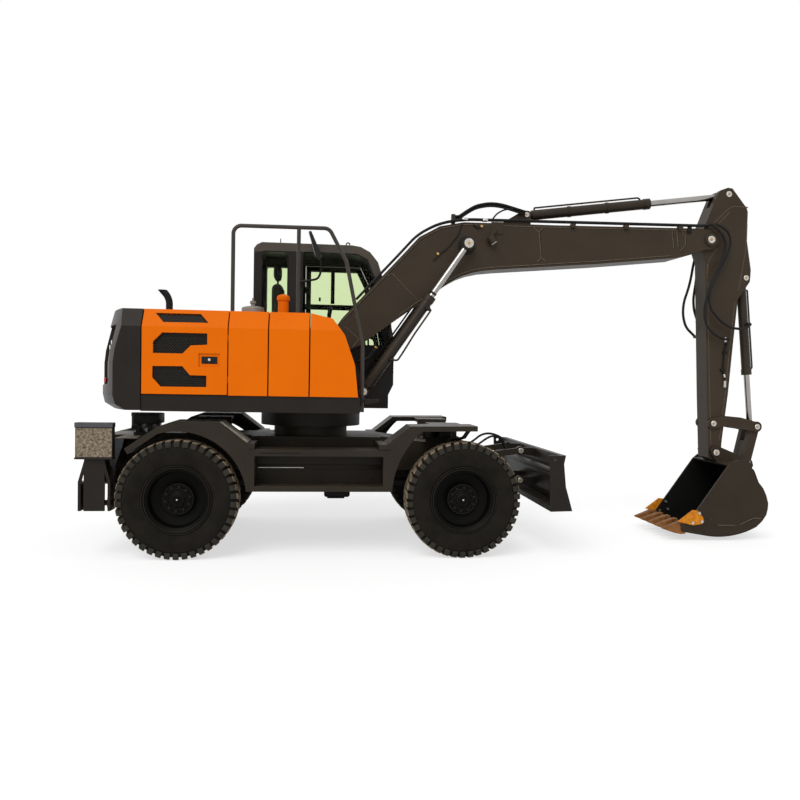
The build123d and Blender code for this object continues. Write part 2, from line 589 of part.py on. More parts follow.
# Counterweight: turned about the swing axis, cut to the machine's width, with a recess for the lamps on each side
recess_arc = 19.0
recess_from = radians(9.0)
recess_to = radians(9.0 + recess_arc)
with BuildPart() as counterweight:
    with BuildSketch(Plane(origin=(swing_x, 0, 0), x_dir=(-1, 0, 0), z_dir=(0, 1, 0))) as section:
        with BuildLine():
            Polyline(
                (0, deck_bottom + 7), (tail_radius - 92, deck_bottom + 7), (tail_radius - 18, deck_bottom + 55),
                (tail_radius, deck_bottom + 129), (tail_radius, hood_top_z - 458), (tail_radius - 13, hood_top_z - 342),
                (tail_radius - 44, hood_top_z - 209), (tail_radius - 76, hood_top_z - 76), (tail_radius - 96, hood_top_z),
                (0, hood_top_z), close=True)
        make_face()
    revolve(section.sketch, axis=Axis((swing_x, 0, 0), (0, 0, 1)))
    with BuildSketch(cross(swing_x - 2000.0)) as width:
        with BuildLine():
            Polyline(
                (-side_y, 1200), (-side_y, shoulder_z), (-shoulder_y, hood_top_z), (shoulder_y, hood_top_z),
                (side_y, shoulder_z), (side_y, 1200), close=True)
        make_face()
    extrude(width.sketch, amount=600.0 - panel_gap, mode=Mode.INTERSECT)
    for hand in (-1, 1):
        start = recess_from if hand < 0 else recess_to
        across = (-cos(start), hand * sin(start), 0)
        along_y = (hand * sin(start), cos(start), 0)
        with BuildSketch(Plane(origin=(swing_x, 0, 0), x_dir=across, z_dir=along_y)) as recess:
            with BuildLine():
                Polyline(
                    (tail_radius - 40, deck_top + 80), (tail_radius - 40, hood_top_z - 458),
                    (tail_radius - 55, hood_top_z - 342), (tail_radius - 102, hood_top_z - 209),
                    (tail_radius - 128, hood_top_z - 136), (tail_radius + 30, hood_top_z - 136),
                    (tail_radius + 30, deck_top + 60), close=True)
            make_face()
        revolve(recess.sketch, axis=Axis((swing_x, 0, 0), (0, 0, 1)), revolution_arc=recess_arc, mode=Mode.SUBTRACT)
counterweight.part.label = "counterweight"
export_step(counterweight.part, "parts/counterweight.step")

with BuildPart() as engine:
    block((swing_x - 1280, -420, deck_top), (swing_x - 760, 380, hood_top_z - 156))
engine.part.label = "engine"
export_step(engine.part, "parts/engine.step")

# Hood: side doors, top with its lid, and the housings beside the boom
bay_rear = -1400.0 + panel_gap
bay_front = -690.0
grille_upper = ((-200, -35), (173, -35), (244, -112), (-127, -114))
grille_middle = ((-204, -127), (-130, -51), (239, -51), (239, -146), (104, -155), (37, -224), (-204, -224))
grille_lower = ((-208, -332), (38, -330), (99, -404), (235, -406), (235, -502), (-141, -503), (-208, -428))
latch_pocket = ((170, -219), (342, -219), (342, -332), (170, -332))
for name, hand in both_sides:
    with BuildPart() as hood_door:
        skin = (
            (hand * side_y, deck_top + panel_gap), (hand * side_y, shoulder_z), (hand * shoulder_y, hood_top_z),
            (hand * (shoulder_y - 25), hood_top_z), (hand * (side_y - panel), shoulder_z - 15),
            (hand * (side_y - panel), deck_top + panel_gap))
        slab(cross(swing_x + bay_rear), skin, bay_front - panel_gap - bay_rear)
        plate(side((rear_axle_x, hood_top_z), hand * (side_y - 60)), grille_upper, 160.0, Mode.SUBTRACT)
        for grille in (grille_middle, grille_lower):
            plate(side((rear_axle_x, shoulder_z), hand * side_y), grille, 2 * panel + 20.0, Mode.SUBTRACT)
        plate(side((rear_axle_x, shoulder_z), hand * side_y), latch_pocket, 24.0, Mode.SUBTRACT)
    hood_door.part.label = f"hood_door_{name}"
    export_step(hood_door.part, f"parts/hood_door_{name}.step")

lid_half = 450.0
lid_rear = -1330.0
lid_front = -740.0
with BuildPart() as hood_top:
    block((swing_x + bay_rear, -shoulder_y + 32, hood_top_z - panel), (swing_x + bay_front, shoulder_y - 32, hood_top_z))
    mouth_low = (swing_x + lid_rear - panel_gap, -lid_half - panel_gap, hood_top_z - panel - 1)
    mouth_high = (swing_x + lid_front + panel_gap, lid_half + panel_gap, hood_top_z + 1)
    block(mouth_low, mouth_high, Mode.SUBTRACT)
    block((swing_x + bay_front - 30, -850, deck_top), (swing_x + bay_front, 850, hood_top_z - panel))
    block((swing_x + bay_rear, -850, deck_top), (swing_x + bay_rear + 30, 850, hood_top_z - panel))
    for hinge_y in (-300.0, 300.0):
        lid_edge = swing_x + lid_front
        block((lid_edge + seat, hinge_y - 40, hood_top_z - 30), (lid_edge + 8, hinge_y + 40, hood_top_z))
    for hand in (-1, 1):
        for hinge_z in (1500.0, 1850.0):
            near = min(hand * 840, hand * 985)
            far = max(hand * 840, hand * 985)
            block((swing_x + bay_front - panel_gap + seat, near, hinge_z), (swing_x + bay_front + 4, far, hinge_z + 60))
hood_top.part.label = "hood_top"
export_step(hood_top.part, "parts/hood_top.step")

with BuildPart() as engine_lid:
    block((swing_x + lid_rear, -lid_half, hood_top_z - 30), (swing_x + lid_front, lid_half, hood_top_z))
engine_lid.part.label = "engine_lid"
export_step(engine_lid.part, "parts/engine_lid.step")

housing_inner_y = 305.0
housing_nose = 411.0
housings = ((bay_front, -360.0), (-354.0, -12.0), (-6.0, housing_nose))
with BuildPart() as side_housings:
    for rear, front in housings:
        skin = (
            (-side_y, deck_top), (-side_y, shoulder_z), (-shoulder_y, hood_top_z), (-housing_inner_y, hood_top_z),
            (-housing_inner_y, deck_top))
        slab(cross(swing_x + rear + panel_gap), skin, front - rear - panel_gap)
    nose_top = hood_top_z + 4
    nose = (
        (187, nose_top), (187, hood_top_z - 45), (291, hood_top_z - 188), (381, hood_top_z - 442), (412, deck_top - 1),
        (450, deck_top - 1), (450, nose_top))
    top_nose = ((-9, hood_top_z + 1), (187, hood_top_z - 45), (187, nose_top), (-9, nose_top))
    plate(side((swing_x, 0), -650), nose, 800.0, Mode.SUBTRACT)
    plate(side((swing_x, 0), -650), top_nose, 800.0, Mode.SUBTRACT)
    block((swing_x + bay_front + panel_gap, -292, deck_top), (swing_x - 140, 290, 1700))
side_housings.part.label = "side_housings"
export_step(side_housings.part, "parts/side_housings.step")

exhaust_x = rear_axle_x - 151.0
with BuildPart() as exhaust:
    pipe = ((exhaust_x, -600, hood_top_z), (exhaust_x, -600, hood_top_z + 125), (exhaust_x - 105, -600, hood_top_z + 245))
    hose(pipe, 30.0, bend_radii(pipe))
    block((exhaust_x - 200, -680, hood_top_z + 196), (exhaust_x + 100, -520, hood_top_z + 300), Mode.SUBTRACT)
    pole((exhaust_x, -600, hood_top_z), (exhaust_x, -600, hood_top_z + 10), 44.0)
exhaust.part.label = "exhaust"
export_step(exhaust.part, "parts/exhaust.step")

with BuildPart() as air_cleaner:
    cleaner = ((0, 0), (48, 0), (48, 138), (58, 142), (60, 174), (44, 188), (12, 199), (0, 199))
    turned((rear_axle_x + 841.0, -500, hood_top_z), cleaner)
    filler = (
        (0, 0), (100, 0), (100, 52), (92, 62), (54, 72), (20, 76), (20, 93), (27, 95), (27, 119), (9, 123), (9, 146),
        (0, 146))
    turned((rear_axle_x + 578.0, -600, hood_top_z), filler)
air_cleaner.part.label = "air_cleaner"
export_step(air_cleaner.part, "parts/air_cleaner.step")

# Handrail beside the housings, one bent tube and its middle post
rail_y = -870.0
tube = 17.0
with BuildPart() as handrail:
    bends = ((429, hood_top_z), (429, 2849), (1245, 2855), (1400, 2570), (1550, 1850), (1552, deck_bottom + 30))
    hose([(rear_axle_x + bend[0], rail_y, bend[1]) for bend in bends], tube, 70.0)
    pole((rear_axle_x + 985, rail_y, hood_top_z), (rear_axle_x + 985, rail_y, 2853), tube)
    block((rear_axle_x + 1530 + seat, rail_y - 30, deck_bottom + 10), (rear_axle_x + 1570, rail_y + 30, deck_bottom + 60))
handrail.part.label = "handrail"
export_step(handrail.part, "parts/handrail.step")

# Cab: a hollow shell with window openings, its door on the left
cab_floor = deck_top
cab_side = (
    (-600, cab_floor), (-600, 2860), (-570, 2900), (-520, cab_roof), (390, cab_roof), (480, 2912), (576, 2863), (660, 2763),
    (704, 2632), (840, 1960), (840, 1500), (790, cab_floor))
cab_room = (
    (-560, cab_floor + 40), (-560, 2840), (-510, cab_roof - 50), (380, cab_roof - 50), (552, 2830), (626, 2740), (664, 2620),
    (800, 1955), (800, 1510), (765, cab_floor + 40))
cab_mid = (cab_inner_y + cab_outer_y) / 2
door_opening = ((-90, cab_floor + 60), (-90, 2800), (520, 2800), (618, 2600), (742, 1960), (742, cab_floor + 60))
right_windows = (
    ((-520, 1900), (-520, 2836), (-290, 2836), (-256, 2800), (-256, 1900)),
    ((-110, 1900), (-110, 2840), (440, 2836), (540, 2780), (618, 2600), (740, 1900)))
left_window = ((-520, 1900), (-520, 2780), (-180, 2780), (-180, 1900))
with BuildPart() as cab_shell:
    plate(side((swing_x, 0), cab_mid), cab_side, cab_outer_y - cab_inner_y)
    plate(side((swing_x, 0), cab_mid), cab_room, cab_outer_y - cab_inner_y - 2 * cab_wall, Mode.SUBTRACT)
    for window in right_windows:
        plate(side((swing_x, 0), cab_inner_y), window, 2 * cab_wall + 2, Mode.SUBTRACT)
    plate(side((swing_x, 0), cab_outer_y), door_opening, 2 * cab_wall + 2, Mode.SUBTRACT)
    plate(side((swing_x, 0), cab_outer_y), left_window, 2 * cab_wall + 2, Mode.SUBTRACT)
    screen = ((560, 2560), (560, 1600), (900, 1600), (900, 1960), (740, 2560))
    plate(side((swing_x, 0), cab_mid), screen, cab_outer_y - cab_inner_y - 2 * cab_wall - 40, Mode.SUBTRACT)
    block((swing_x - 650, cab_inner_y + 70, 2200), (swing_x - 550, cab_outer_y - 70, 2780), Mode.SUBTRACT)
    for hinge_z in (1600.0, 2500.0):
        block((swing_x - 92, cab_outer_y - cab_wall, hinge_z), (swing_x - 85 - seat, cab_outer_y - 2, hinge_z + 70))
cab_shell.part.label = "cab_shell"
export_step(cab_shell.part, "parts/cab_shell.step")

door_side = ((-85, cab_floor + 65), (-85, 2795), (515, 2795), (612, 2598), (736, 1960), (736, cab_floor + 65))
door_window = ((-30, 1900), (-30, 2740), (480, 2740), (560, 2580), (680, 1960), (680, 1900))
with BuildPart() as cab_door:
    plate(side((swing_x, 0), cab_outer_y - cab_wall / 2), door_side, cab_wall)
    plate(side((swing_x, 0), cab_outer_y - cab_wall / 2), door_window, cab_wall + 2, Mode.SUBTRACT)
cab_door.part.label = "cab_door"
export_step(cab_door.part, "parts/cab_door.step")

with BuildPart() as door_glass:
    with BuildSketch(side((swing_x, 0), cab_outer_y - cab_wall / 2)) as face:
        with BuildLine():
            Polyline(*door_window, close=True)
        make_face()
    extrude(offset(face.sketch, amount=-seat, kind=Kind.INTERSECTION, mode=Mode.PRIVATE), amount=glass / 2, both=True)
door_glass.part.label = "door_glass"
export_step(door_glass.part, "parts/door_glass.step")

with BuildPart() as cab_glass:
    panes = [(window, cab_inner_y + cab_wall / 2) for window in right_windows] + [(left_window, cab_outer_y - cab_wall / 2)]
    for outline, pane_y in panes:
        with BuildSketch(side((swing_x, 0), pane_y)) as face:
            with BuildLine():
                Polyline(*outline, close=True)
            make_face()
        extrude(offset(face.sketch, amount=-seat, kind=Kind.INTERSECTION, mode=Mode.PRIVATE), amount=glass / 2, both=True)
    block((swing_x - 583, cab_inner_y + 70 + seat, 2200 + seat), (swing_x - 577, cab_outer_y - 70 - seat, 2780 - seat))
    sheet = ((808, 1600 + seat), (808, 1956), (686, 2560 - seat), (692, 2560 - seat), (814, 1956), (814, 1600 + seat))
    plate(side((swing_x, 0), cab_mid), sheet, cab_outer_y - cab_inner_y - 2 * cab_wall - 40 - 2 * seat)
cab_glass.part.label = "cab_glass"
export_step(cab_glass.part, "parts/cab_glass.step")

# Mirror on the cab's right wall, aerial and lifting eye on its roof
mirror_y = 232.0
with BuildPart() as cab_fittings:
    head = ((-48, 3026), (-24, 3030), (84, 2790), (60, 2755), (22, 2782))
    plate(side((swing_x, 0), mirror_y), head, 130.0)
    arm_points = (
        (swing_x + 70, mirror_y, 2775), (swing_x + 80, mirror_y, 2640), (swing_x + 50, mirror_y + 30, 2565),
        (swing_x - 150, mirror_y + 32, 2525), (swing_x - 150, cab_inner_y - seat, 2525))
    hose(arm_points, 11.0, bend_radii(arm_points))
    drum((swing_x - 150, 2525), cab_inner_y - 8, cab_inner_y - seat, 22.0)
    pole((swing_x - 350, 600, cab_roof + seat), (swing_x - 350, 600, cab_roof + 95), 5.0)
    pole((swing_x - 350, 600, cab_roof + seat), (swing_x - 350, 600, cab_roof + 35), 12.0)
    pole((swing_x + 360, 600, cab_roof + seat), (swing_x + 360, 600, cab_roof + 40), 11.0)
    drum((swing_x + 360, cab_roof + 58), 590.0, 610.0, 24.0)
    drum((swing_x + 360, cab_roof + 58), 580.0, 620.0, 13.0, Mode.SUBTRACT)
cab_fittings.part.label = "cab_fittings"
export_step(cab_fittings.part, "parts/cab_fittings.step")

with BuildPart() as seat_pad:
    seat_y = cab_mid
    block((swing_x - 330, seat_y - 240, 1850), (swing_x + 170, seat_y + 240, 1990))
    block((swing_x - 430, seat_y - 230, 1880), (swing_x - 310, seat_y + 230, 2560))
    block((swing_x - 430, seat_y - 120, 2540), (swing_x - 330, seat_y + 120, 2760))
    block((swing_x - 250, seat_y - 170, cab_floor + 40), (swing_x + 90, seat_y + 170, 1860))
seat_pad.part.label = "seat"
export_step(seat_pad.part, "parts/seat.step")

# Boom: a box with a bent back, fork and lugs
boom_side = (
    (-30, -95), (60, -80), (157, -18), (263, 33), (646, 312), (1010, 575), (1133, 667), (1240, 727), (1344, 766),
    (1460, 793), (1623, 812), (2637, 901), (3468, 990), (3760, 1080), (3860, 1095), (3915, 1160), (3905, 1240),
    (3840, 1285), (3671, 1295), (2178, 1269), (1613, 1266), (1266, 1262), (1030, 1214), (826, 1100), (683, 940),
    (95, 298), (-60, 80), (-98, 0))
pipe_radius = 12.0
pipe_near = 125.0
pipe_far = 154.0
clamp_runs = (arm_pivot[0] - 1450.0, arm_pivot[0] - 900.0, arm_pivot[0] - 330.0)
rack_front = 1185.0


def pipe_level(x):
    # Middle of the pipes that lie along the boom's back
    share = (x - boom_foot[0] - 2178.0) / (3671.0 - 2178.0)
    return boom_foot[1] + 1269.0 + share * 26.0 + pipe_radius + 16.0


with BuildPart() as boom:
    plate(side(boom_foot), boom_side, 2 * boom_half)
    drum(boom_foot, -boom_half, boom_half, 35.0 + pin_fit, Mode.SUBTRACT)
    fork = ((3560, 900), (3560, 1400), (4000, 1400), (4000, 900))
    plate(side(boom_foot), fork, 2 * arm_half + 2 * side_fit, Mode.SUBTRACT)
    drum(arm_pivot, -boom_half - 22, boom_half + 22, 35.0)
    for hand in (-1, 1):
        boss_start = min(hand * boom_half, hand * (boom_half + 22))
        drum(arm_pivot, boss_start, boss_start + 22, 62.0)
        boss_start = min(hand * boom_half, hand * (lift_y - 34))
        drum(lift_eye, boss_start, boss_start + lift_y - 34 - boom_half, 62.0)
        lug = ((1590, 1240), (1850, 1400), (1885, 1420), (1940, 1420), (1960, 1400), (1962, 1250))
        plate(side(boom_foot, hand * 48.0), lug, 24.0)
    drum(crowd_foot, -62.0, 62.0, 28.0)
    lamp_plate = ((1540, 1160), (1660, 1160), (1660, 1275), (1540, 1275))
    plate(side(boom_foot, -boom_half - 5), lamp_plate, 12.0)
    lamp = (boom_foot[0] + 1545.0, boom_foot[1] + 1095.0)
    lamp_y = -boom_half - 50.0
    pole((lamp[0] - 24, lamp_y, lamp[1] + 20), (lamp[0] + 16, lamp_y, lamp[1] - 34), 38.0)
    lamp_arm = ((1500, 1110), (1545, 1120), (1600, 1200), (1560, 1200))
    plate(side(boom_foot, -boom_half - 20), lamp_arm, 26.0)
    for clamp_run in clamp_runs:
        clamp_z = pipe_level(clamp_run) - pipe_radius - seat
        block((clamp_run - 22, -pipe_far - 14, clamp_z - 40), (clamp_run + 22, -pipe_near + 14, clamp_z))
    rack_y = -pipe_near + pipe_radius + 1.0
    rack_low = (boom_foot[0] + rack_front - 35, rack_y, boom_foot[1] + 1230)
    block(rack_low, (boom_foot[0] + rack_front, rack_y + 46, boom_foot[1] + 1345))
boom.part.label = "boom"
export_step(boom.part, "parts/boom.step")

# Pipes along the boom's back to the arm, and the hoses that arch over them to the crowd cylinder
crowd_hoses = ((80.0, 0.0), (104.0, 0.0), (92.0, 24.0))
with BuildPart() as boom_hoses:
    for reach, end_run, end_rise in ((pipe_near, -20.0, 148.0), (pipe_far, 20.0, 152.0)):
        back = ((222, 477), (662, 958), (806, 1122), (1022, 1243), (1266, 1290))
        run = [(boom_foot[0] + x, -reach, boom_foot[1] + z) for x, z in back]
        bend_x = arm_pivot[0] + end_run - 120.0
        run.append((bend_x, -reach, pipe_level(bend_x)))
        run.append((arm_pivot[0] + end_run, -reach, arm_pivot[1] + end_rise))
        hose(run, pipe_radius, bend_radii(run))
    for reach, drop in crowd_hoses:
        arch = (
            (rack_front + seat, 1325), (rack_front + 38, 1326), (1290, 1376), (1390, 1440), (1532, 1470), (1650, 1462),
            (1760, 1434), (1895, 1398))
        run = [(boom_foot[0] + x, -reach, boom_foot[1] + z - drop) for x, z in arch]
        hose(run, pipe_radius - 0.5, bend_radii(run))
boom_hoses.part.label = "boom_hoses"
export_step(boom_hoses.part, "parts/boom_hoses.step")

with BuildPart() as lift_barrels:
    for hand in (-1, 1):
        cylinder_barrel(lift_foot, lift_eye, hand * lift_y, 1130.0, 50.0, 31.0 + side_fit, 52.0, 34.0, 30.0)
lift_barrels.part.label = "lift_barrels"
export_step(lift_barrels.part, "parts/lift_barrels.step")

with BuildPart() as lift_rods:
    for hand in (-1, 1):
        piston_rod(lift_foot, lift_eye, hand * lift_y, 500.0, 31.0, 58.0, 34.0 - side_fit)
lift_rods.part.label = "lift_rods"
export_step(lift_rods.part, "parts/lift_rods.step")

with BuildPart() as crowd_barrel:
    cylinder_barrel(crowd_foot, crowd_eye, 0.0, 1310.0, 50.0, 31.0 + side_fit, 48.0, 35.0, 28.0)
crowd_barrel.part.label = "crowd_barrel"
export_step(crowd_barrel.part, "parts/crowd_barrel.step")

with BuildPart() as crowd_rod:
    piston_rod(crowd_foot, crowd_eye, 0.0, 640.0, 31.0, 54.0, 35.0)
crowd_rod.part.label = "crowd_rod"
export_step(crowd_rod.part, "parts/crowd_rod.step")

# Routes of the hoses down the arm's sides, clear of the boom's fork, measured from the arm's pivot
port_radius = 17.0
port_line = boom_half + 60.0
valve_run = (208.0, -118.0)
hose_radius = 13.0
hose_y = boom_half + 46.0
tilt_port = toward(tilt_foot, rocker_outer, 475.0)
tilt_port_y = 66.0
near_outer = (
    (32, 152), (90, 130), (160, 82), (192, 10), (192, -65), (165, -160), (110, -270), (40, -390), (-10, -500), (-26, -620),
    (0, -710), (60, -780), (142, -850), (225, -893), (370, -905))
near_inner = (
    (-8, 140), (60, 92), (112, 37), (140, -40), (136, -120), (105, -220), (45, -340), (-12, -450), (-45, -570), (-68, -680),
    (-70, -790), (-35, -890), (45, -965), (140, -1006), (200, -1009))
far_hoses = (
    ((60, 60), (30, -40), (-10, -200), (-30, -340), (-60, -470), (-105, -600), (-112, -740), (-75, -870), (20, -955)),
    ((100, 40), (75, -80), (40, -240), (20, -420), (0, -560), (10, -680), (50, -790)))
valve_top = -1432.0


def port_beyond(route):
    # Middle of the round port just past the end of a hose
    before, end = route[-2:]
    reach = hypot(end[0] - before[0], end[1] - before[1]) + port_radius + seat
    return toward(before, end, reach)


near_port = port_beyond(near_inner)
valve_pipe = (
    (near_port[0], near_port[1] - port_radius - seat), (near_port[0], -1060), (196, -1140), (190, -1350),
    (valve_run[0], -1400), (valve_run[0], valve_top + seat))

# Arm: a tapered box, open between its ears at the two cylinder eyes
arm_side = (
    (-80, 60), (83, 480), (114, 517), (190, 546), (240, 540), (400, 347), (413, 307), (411, 21), (464, -284), (462, -340),
    (457, -407), (332, -595), (293, -1057), (254, -1572), (203, -2036), (190, -2230), (128, -2258), (60, -2225),
    (53, -2089), (28, -1627), (-4, -911), (-35, -219), (-95, -60), (-100, 0))
eye_slot = 38.0
with BuildPart() as arm:
    plate(side(arm_pivot), arm_side, 2 * arm_half)
    top_slot = ((-250, 380), (330, 330), (420, 380), (420, 640), (-250, 640))
    plate(side(arm_pivot), top_slot, 2 * eye_slot, Mode.SUBTRACT)
    back_slot = ((350, -240), (350, -520), (520, -520), (520, -240))
    plate(side(arm_pivot), back_slot, 2 * eye_slot, Mode.SUBTRACT)
    barrel_slot = ((330, -404), (330, -720), (520, -720), (520, -404))
    plate(side(arm_pivot), barrel_slot, 2 * 56.0, Mode.SUBTRACT)
    drum(arm_pivot, -arm_half, arm_half, 35.0 + pin_fit, Mode.SUBTRACT)
    drum(bucket_pin, -arm_half, arm_half, 30.0 + pin_fit, Mode.SUBTRACT)
    drum(tilt_foot, -arm_half, arm_half, 26.0)
    drum(rocker_pin, -arm_half - 40, arm_half + 40, 28.0)
    drum((arm_pivot[0] + near_port[0], arm_pivot[1] + near_port[1]), -port_line, -arm_half + 1, port_radius)
    for route in far_hoses:
        port = port_beyond(route)
        drum((arm_pivot[0] + port[0], arm_pivot[1] + port[1]), arm_half - 1, port_line, port_radius)
    valve_x = arm_pivot[0] + valve_run[0]
    pole((valve_x, valve_run[1], arm_pivot[1] + valve_top - 68), (valve_x, valve_run[1], arm_pivot[1] + valve_top), 15.0)
arm.part.label = "arm"
export_step(arm.part, "parts/arm.step")

with BuildPart() as arm_hoses:
    for route in (near_outer, near_inner):
        points = [(arm_pivot[0] + run, -hose_y, arm_pivot[1] + rise) for run, rise in route]
        if route == near_outer:
            points.append((tilt_port[0], -tilt_port_y - 84, tilt_port[1]))
            points.append((tilt_port[0], -tilt_port_y - seat, tilt_port[1]))
        hose(points, hose_radius, bend_radii(points))
    for route in far_hoses:
        points = [(arm_pivot[0] + run, hose_y, arm_pivot[1] + rise) for run, rise in route]
        hose(points, hose_radius, bend_radii(points))
    points = [(arm_pivot[0] + run, valve_run[1], arm_pivot[1] + rise) for run, rise in valve_pipe]
    hose(points, 9.0, bend_radii(points))
arm_hoses.part.label = "arm_hoses"
export_step(arm_hoses.part, "parts/arm_hoses.step")

with BuildPart() as tilt_barrel:
    cylinder_barrel(tilt_foot, rocker_outer, 0.0, 1000.0, 46.0, 29.0 + side_fit, 44.0, 35.0, 26.0)
    drum(tilt_port, -tilt_port_y, -38.0, 19.0)
tilt_barrel.part.label = "tilt_barrel"
export_step(tilt_barrel.part, "parts/tilt_barrel.step")

with BuildPart() as tilt_rod:
    piston_rod(tilt_foot, rocker_outer, 0.0, 540.0, 29.0, 46.0, 35.0)
tilt_rod.part.label = "tilt_rod"
export_step(tilt_rod.part, "parts/tilt_rod.step")

# Bucket linkage: rocker plates outside the arm, and the link from them to the bucket
rocker_inner = arm_half + side_fit
rocker_outer_y = rocker_inner + 28.0
link_inner = 42.0
with BuildPart() as rocker:
    for hand in (-1, 1):
        rocker_run = (
            (-10, 52), (146, 79), (300, 66), (440, 30), (520, 4), (520, -60), (478, -84), (399, -66), (304, -54), (185, -30),
            (114, -33), (0, -52))
        plate(side(rocker_pin, hand * (rocker_inner + rocker_outer_y) / 2), rocker_run, rocker_outer_y - rocker_inner)
        wall_near = min(hand * rocker_inner, hand * rocker_outer_y)
        wall_far = max(hand * rocker_inner, hand * rocker_outer_y)
        drum(rocker_pin, wall_near, wall_far, 52.0)
        drum(rocker_outer, wall_near, wall_far, 54.0)
        pin_half = (rocker_outer_y + 8 - link_inner + 2) / 2
        pin_middle = hand * (rocker_outer_y + 8 + link_inner - 2) / 2
        drum(rocker_outer, pin_middle - pin_half, pin_middle + pin_half, 28.0)
    drum(rocker_pin, -rocker_outer_y - 2, rocker_outer_y + 2, 28.0 + pin_fit, Mode.SUBTRACT)
rocker.part.label = "rocker"
export_step(rocker.part, "parts/rocker.step")

link_run = (link_pin[0] - rocker_outer[0], link_pin[1] - rocker_outer[1])
with BuildPart() as bucket_link:
    for hand in (-1, 1):
        wall = ((-48, 0), (48, 0), (link_run[0] + 45, link_run[1]), (link_run[0] - 45, link_run[1]))
        plate(side(rocker_outer, hand * (link_inner + arm_half) / 2), wall, arm_half - link_inner)
        eye_near = min(hand * link_inner, hand * arm_half)
        drum(rocker_outer, eye_near, eye_near + arm_half - link_inner, 50.0)
    drum(link_pin, -arm_half, arm_half, 46.0)
    bridge_top = (link_run[0] * 0.4, link_run[1] * 0.4)
    bridge = (
        (bridge_top[0] - 45, bridge_top[1]), (bridge_top[0] + 45, bridge_top[1]), (link_run[0] + 40, link_run[1]),
        (link_run[0] - 40, link_run[1]))
    plate(side(rocker_outer), bridge, 2 * arm_half)
    drum(rocker_outer, -arm_half - 1, arm_half + 1, 28.0 + pin_fit, Mode.SUBTRACT)
bucket_link.part.label = "bucket_link"
export_step(bucket_link.part, "parts/bucket_link.step")

# Bucket: a rolled shell between side plates with ears, and its bolted teeth and side cutters
lip = ((-484, -690), (-470, -768), (-231, -808), (-190, -788), (-408, -700))
side_wall = bucket_half - bucket_wall / 2
with BuildPart() as bucket:
    with BuildSketch(side(bucket_pin)) as shell:
        with BuildLine():
            Polyline(
                (320, -724), (382, -664), (422, -604), (436, -544), (439, -485), (416, -405), (382, -335), (332, -275),
                (315, -236), (281, -156), (236, -112), (120, -72), (17, -97), (2, -112), (-408, -688), (-420, -728),
                (-231, -808))
            ThreePointArc((-231, -808), (100, -804), (320, -724))
        make_face()
    extrude(shell.sketch, amount=bucket_half, both=True)
    room = offset(shell.sketch, amount=-bucket_wall, kind=Kind.INTERSECTION, mode=Mode.PRIVATE)
    extrude(room, amount=bucket_half - bucket_wall, both=True, mode=Mode.SUBTRACT)
    mouth = ((24, -130), (-388, -706), (-560, -600), (-560, -560), (-60, 40))
    plate(side(bucket_pin), mouth, 2 * (bucket_half - bucket_wall), Mode.SUBTRACT)
    plate(side(bucket_pin), lip, 2 * bucket_half)
    for hand in (-1, 1):
        shoulder = ((2, -112), (58, -63), (110, -53), (215, -47), (239, -82), (238, -117), (120, -200))
        plate(side(bucket_pin, hand * side_wall), shoulder, bucket_wall)
        ear = (
            (-50, -20), (-62, 20), (-40, 55), (0, 68), (40, 60), (340, -60), (395, -80), (410, -130), (380, -190),
            (318, -225), (245, -128), (130, -85), (20, -106))
        plate(side(bucket_pin, hand * (rocker_inner + rocker_outer_y) / 2), ear, rocker_outer_y - rocker_inner)
        wear = (
            (-225, -800), (-158, -638), (-131, -673), (-62, -721), (68, -708), (225, -689), (307, -639), (333, -639),
            (372, -662), (315, -715), (225, -762), (81, -790), (-65, -798))
        plate(side(bucket_pin, hand * (bucket_half + 1)), wear, 8.0)
    drum(bucket_pin, -rocker_outer_y - 8, rocker_outer_y + 8, 30.0)
bucket.part.label = "bucket"
export_step(bucket.part, "parts/bucket.step")

tooth_half = 36.0
with BuildPart() as tooth:
    profile = (
        (-652, -744), (-650, -732), (-560, -702), (-480, -672), (-425, -668), (-425, -790), (-470, -794), (-545, -780))
    plate(side(bucket_pin), profile, 2 * tooth_half)
    with BuildSketch(side(bucket_pin)) as grown:
        with BuildLine():
            Polyline(*lip, close=True)
        make_face()
        offset(amount=seat, kind=Kind.INTERSECTION, mode=Mode.REPLACE)
    extrude(grown.sketch, amount=tooth_half + 1, both=True, mode=Mode.SUBTRACT)
    for hand in (-1, 1):
        with BuildSketch(Plane(origin=(bucket_pin[0], 0, bucket_pin[1] - 820))) as flank:
            with BuildLine():
                waste = hand * (tooth_half + 20)
                Polyline((-660, hand * 14), (-500, hand * tooth_half), (-500, waste), (-660, waste), close=True)
            make_face()
        extrude(flank.sketch, amount=200.0, mode=Mode.SUBTRACT)

tooth_count = 5
tooth_span = 2 * (bucket_half - tooth_half - 4.0)
with BuildPart() as bucket_teeth:
    for index in range(tooth_count):
        add(tooth.part.moved(Location((0, tooth_span * (index / (tooth_count - 1) - 0.5), 0))))
    for hand in (-1, 1):
        cutter = ((-513, -664), (-362, -551), (-310, -556), (-257, -620), (-245, -669), (-265, -689), (-357, -703))
        plate(side(bucket_pin, hand * (bucket_half + 9 + seat)), cutter, 18.0)
bucket_teeth.part.label = "bucket_teeth"
export_step(bucket_teeth.part, "parts/bucket_teeth.step")
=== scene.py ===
import math

import bmesh
import bpy
from mathutils import Matrix, Vector


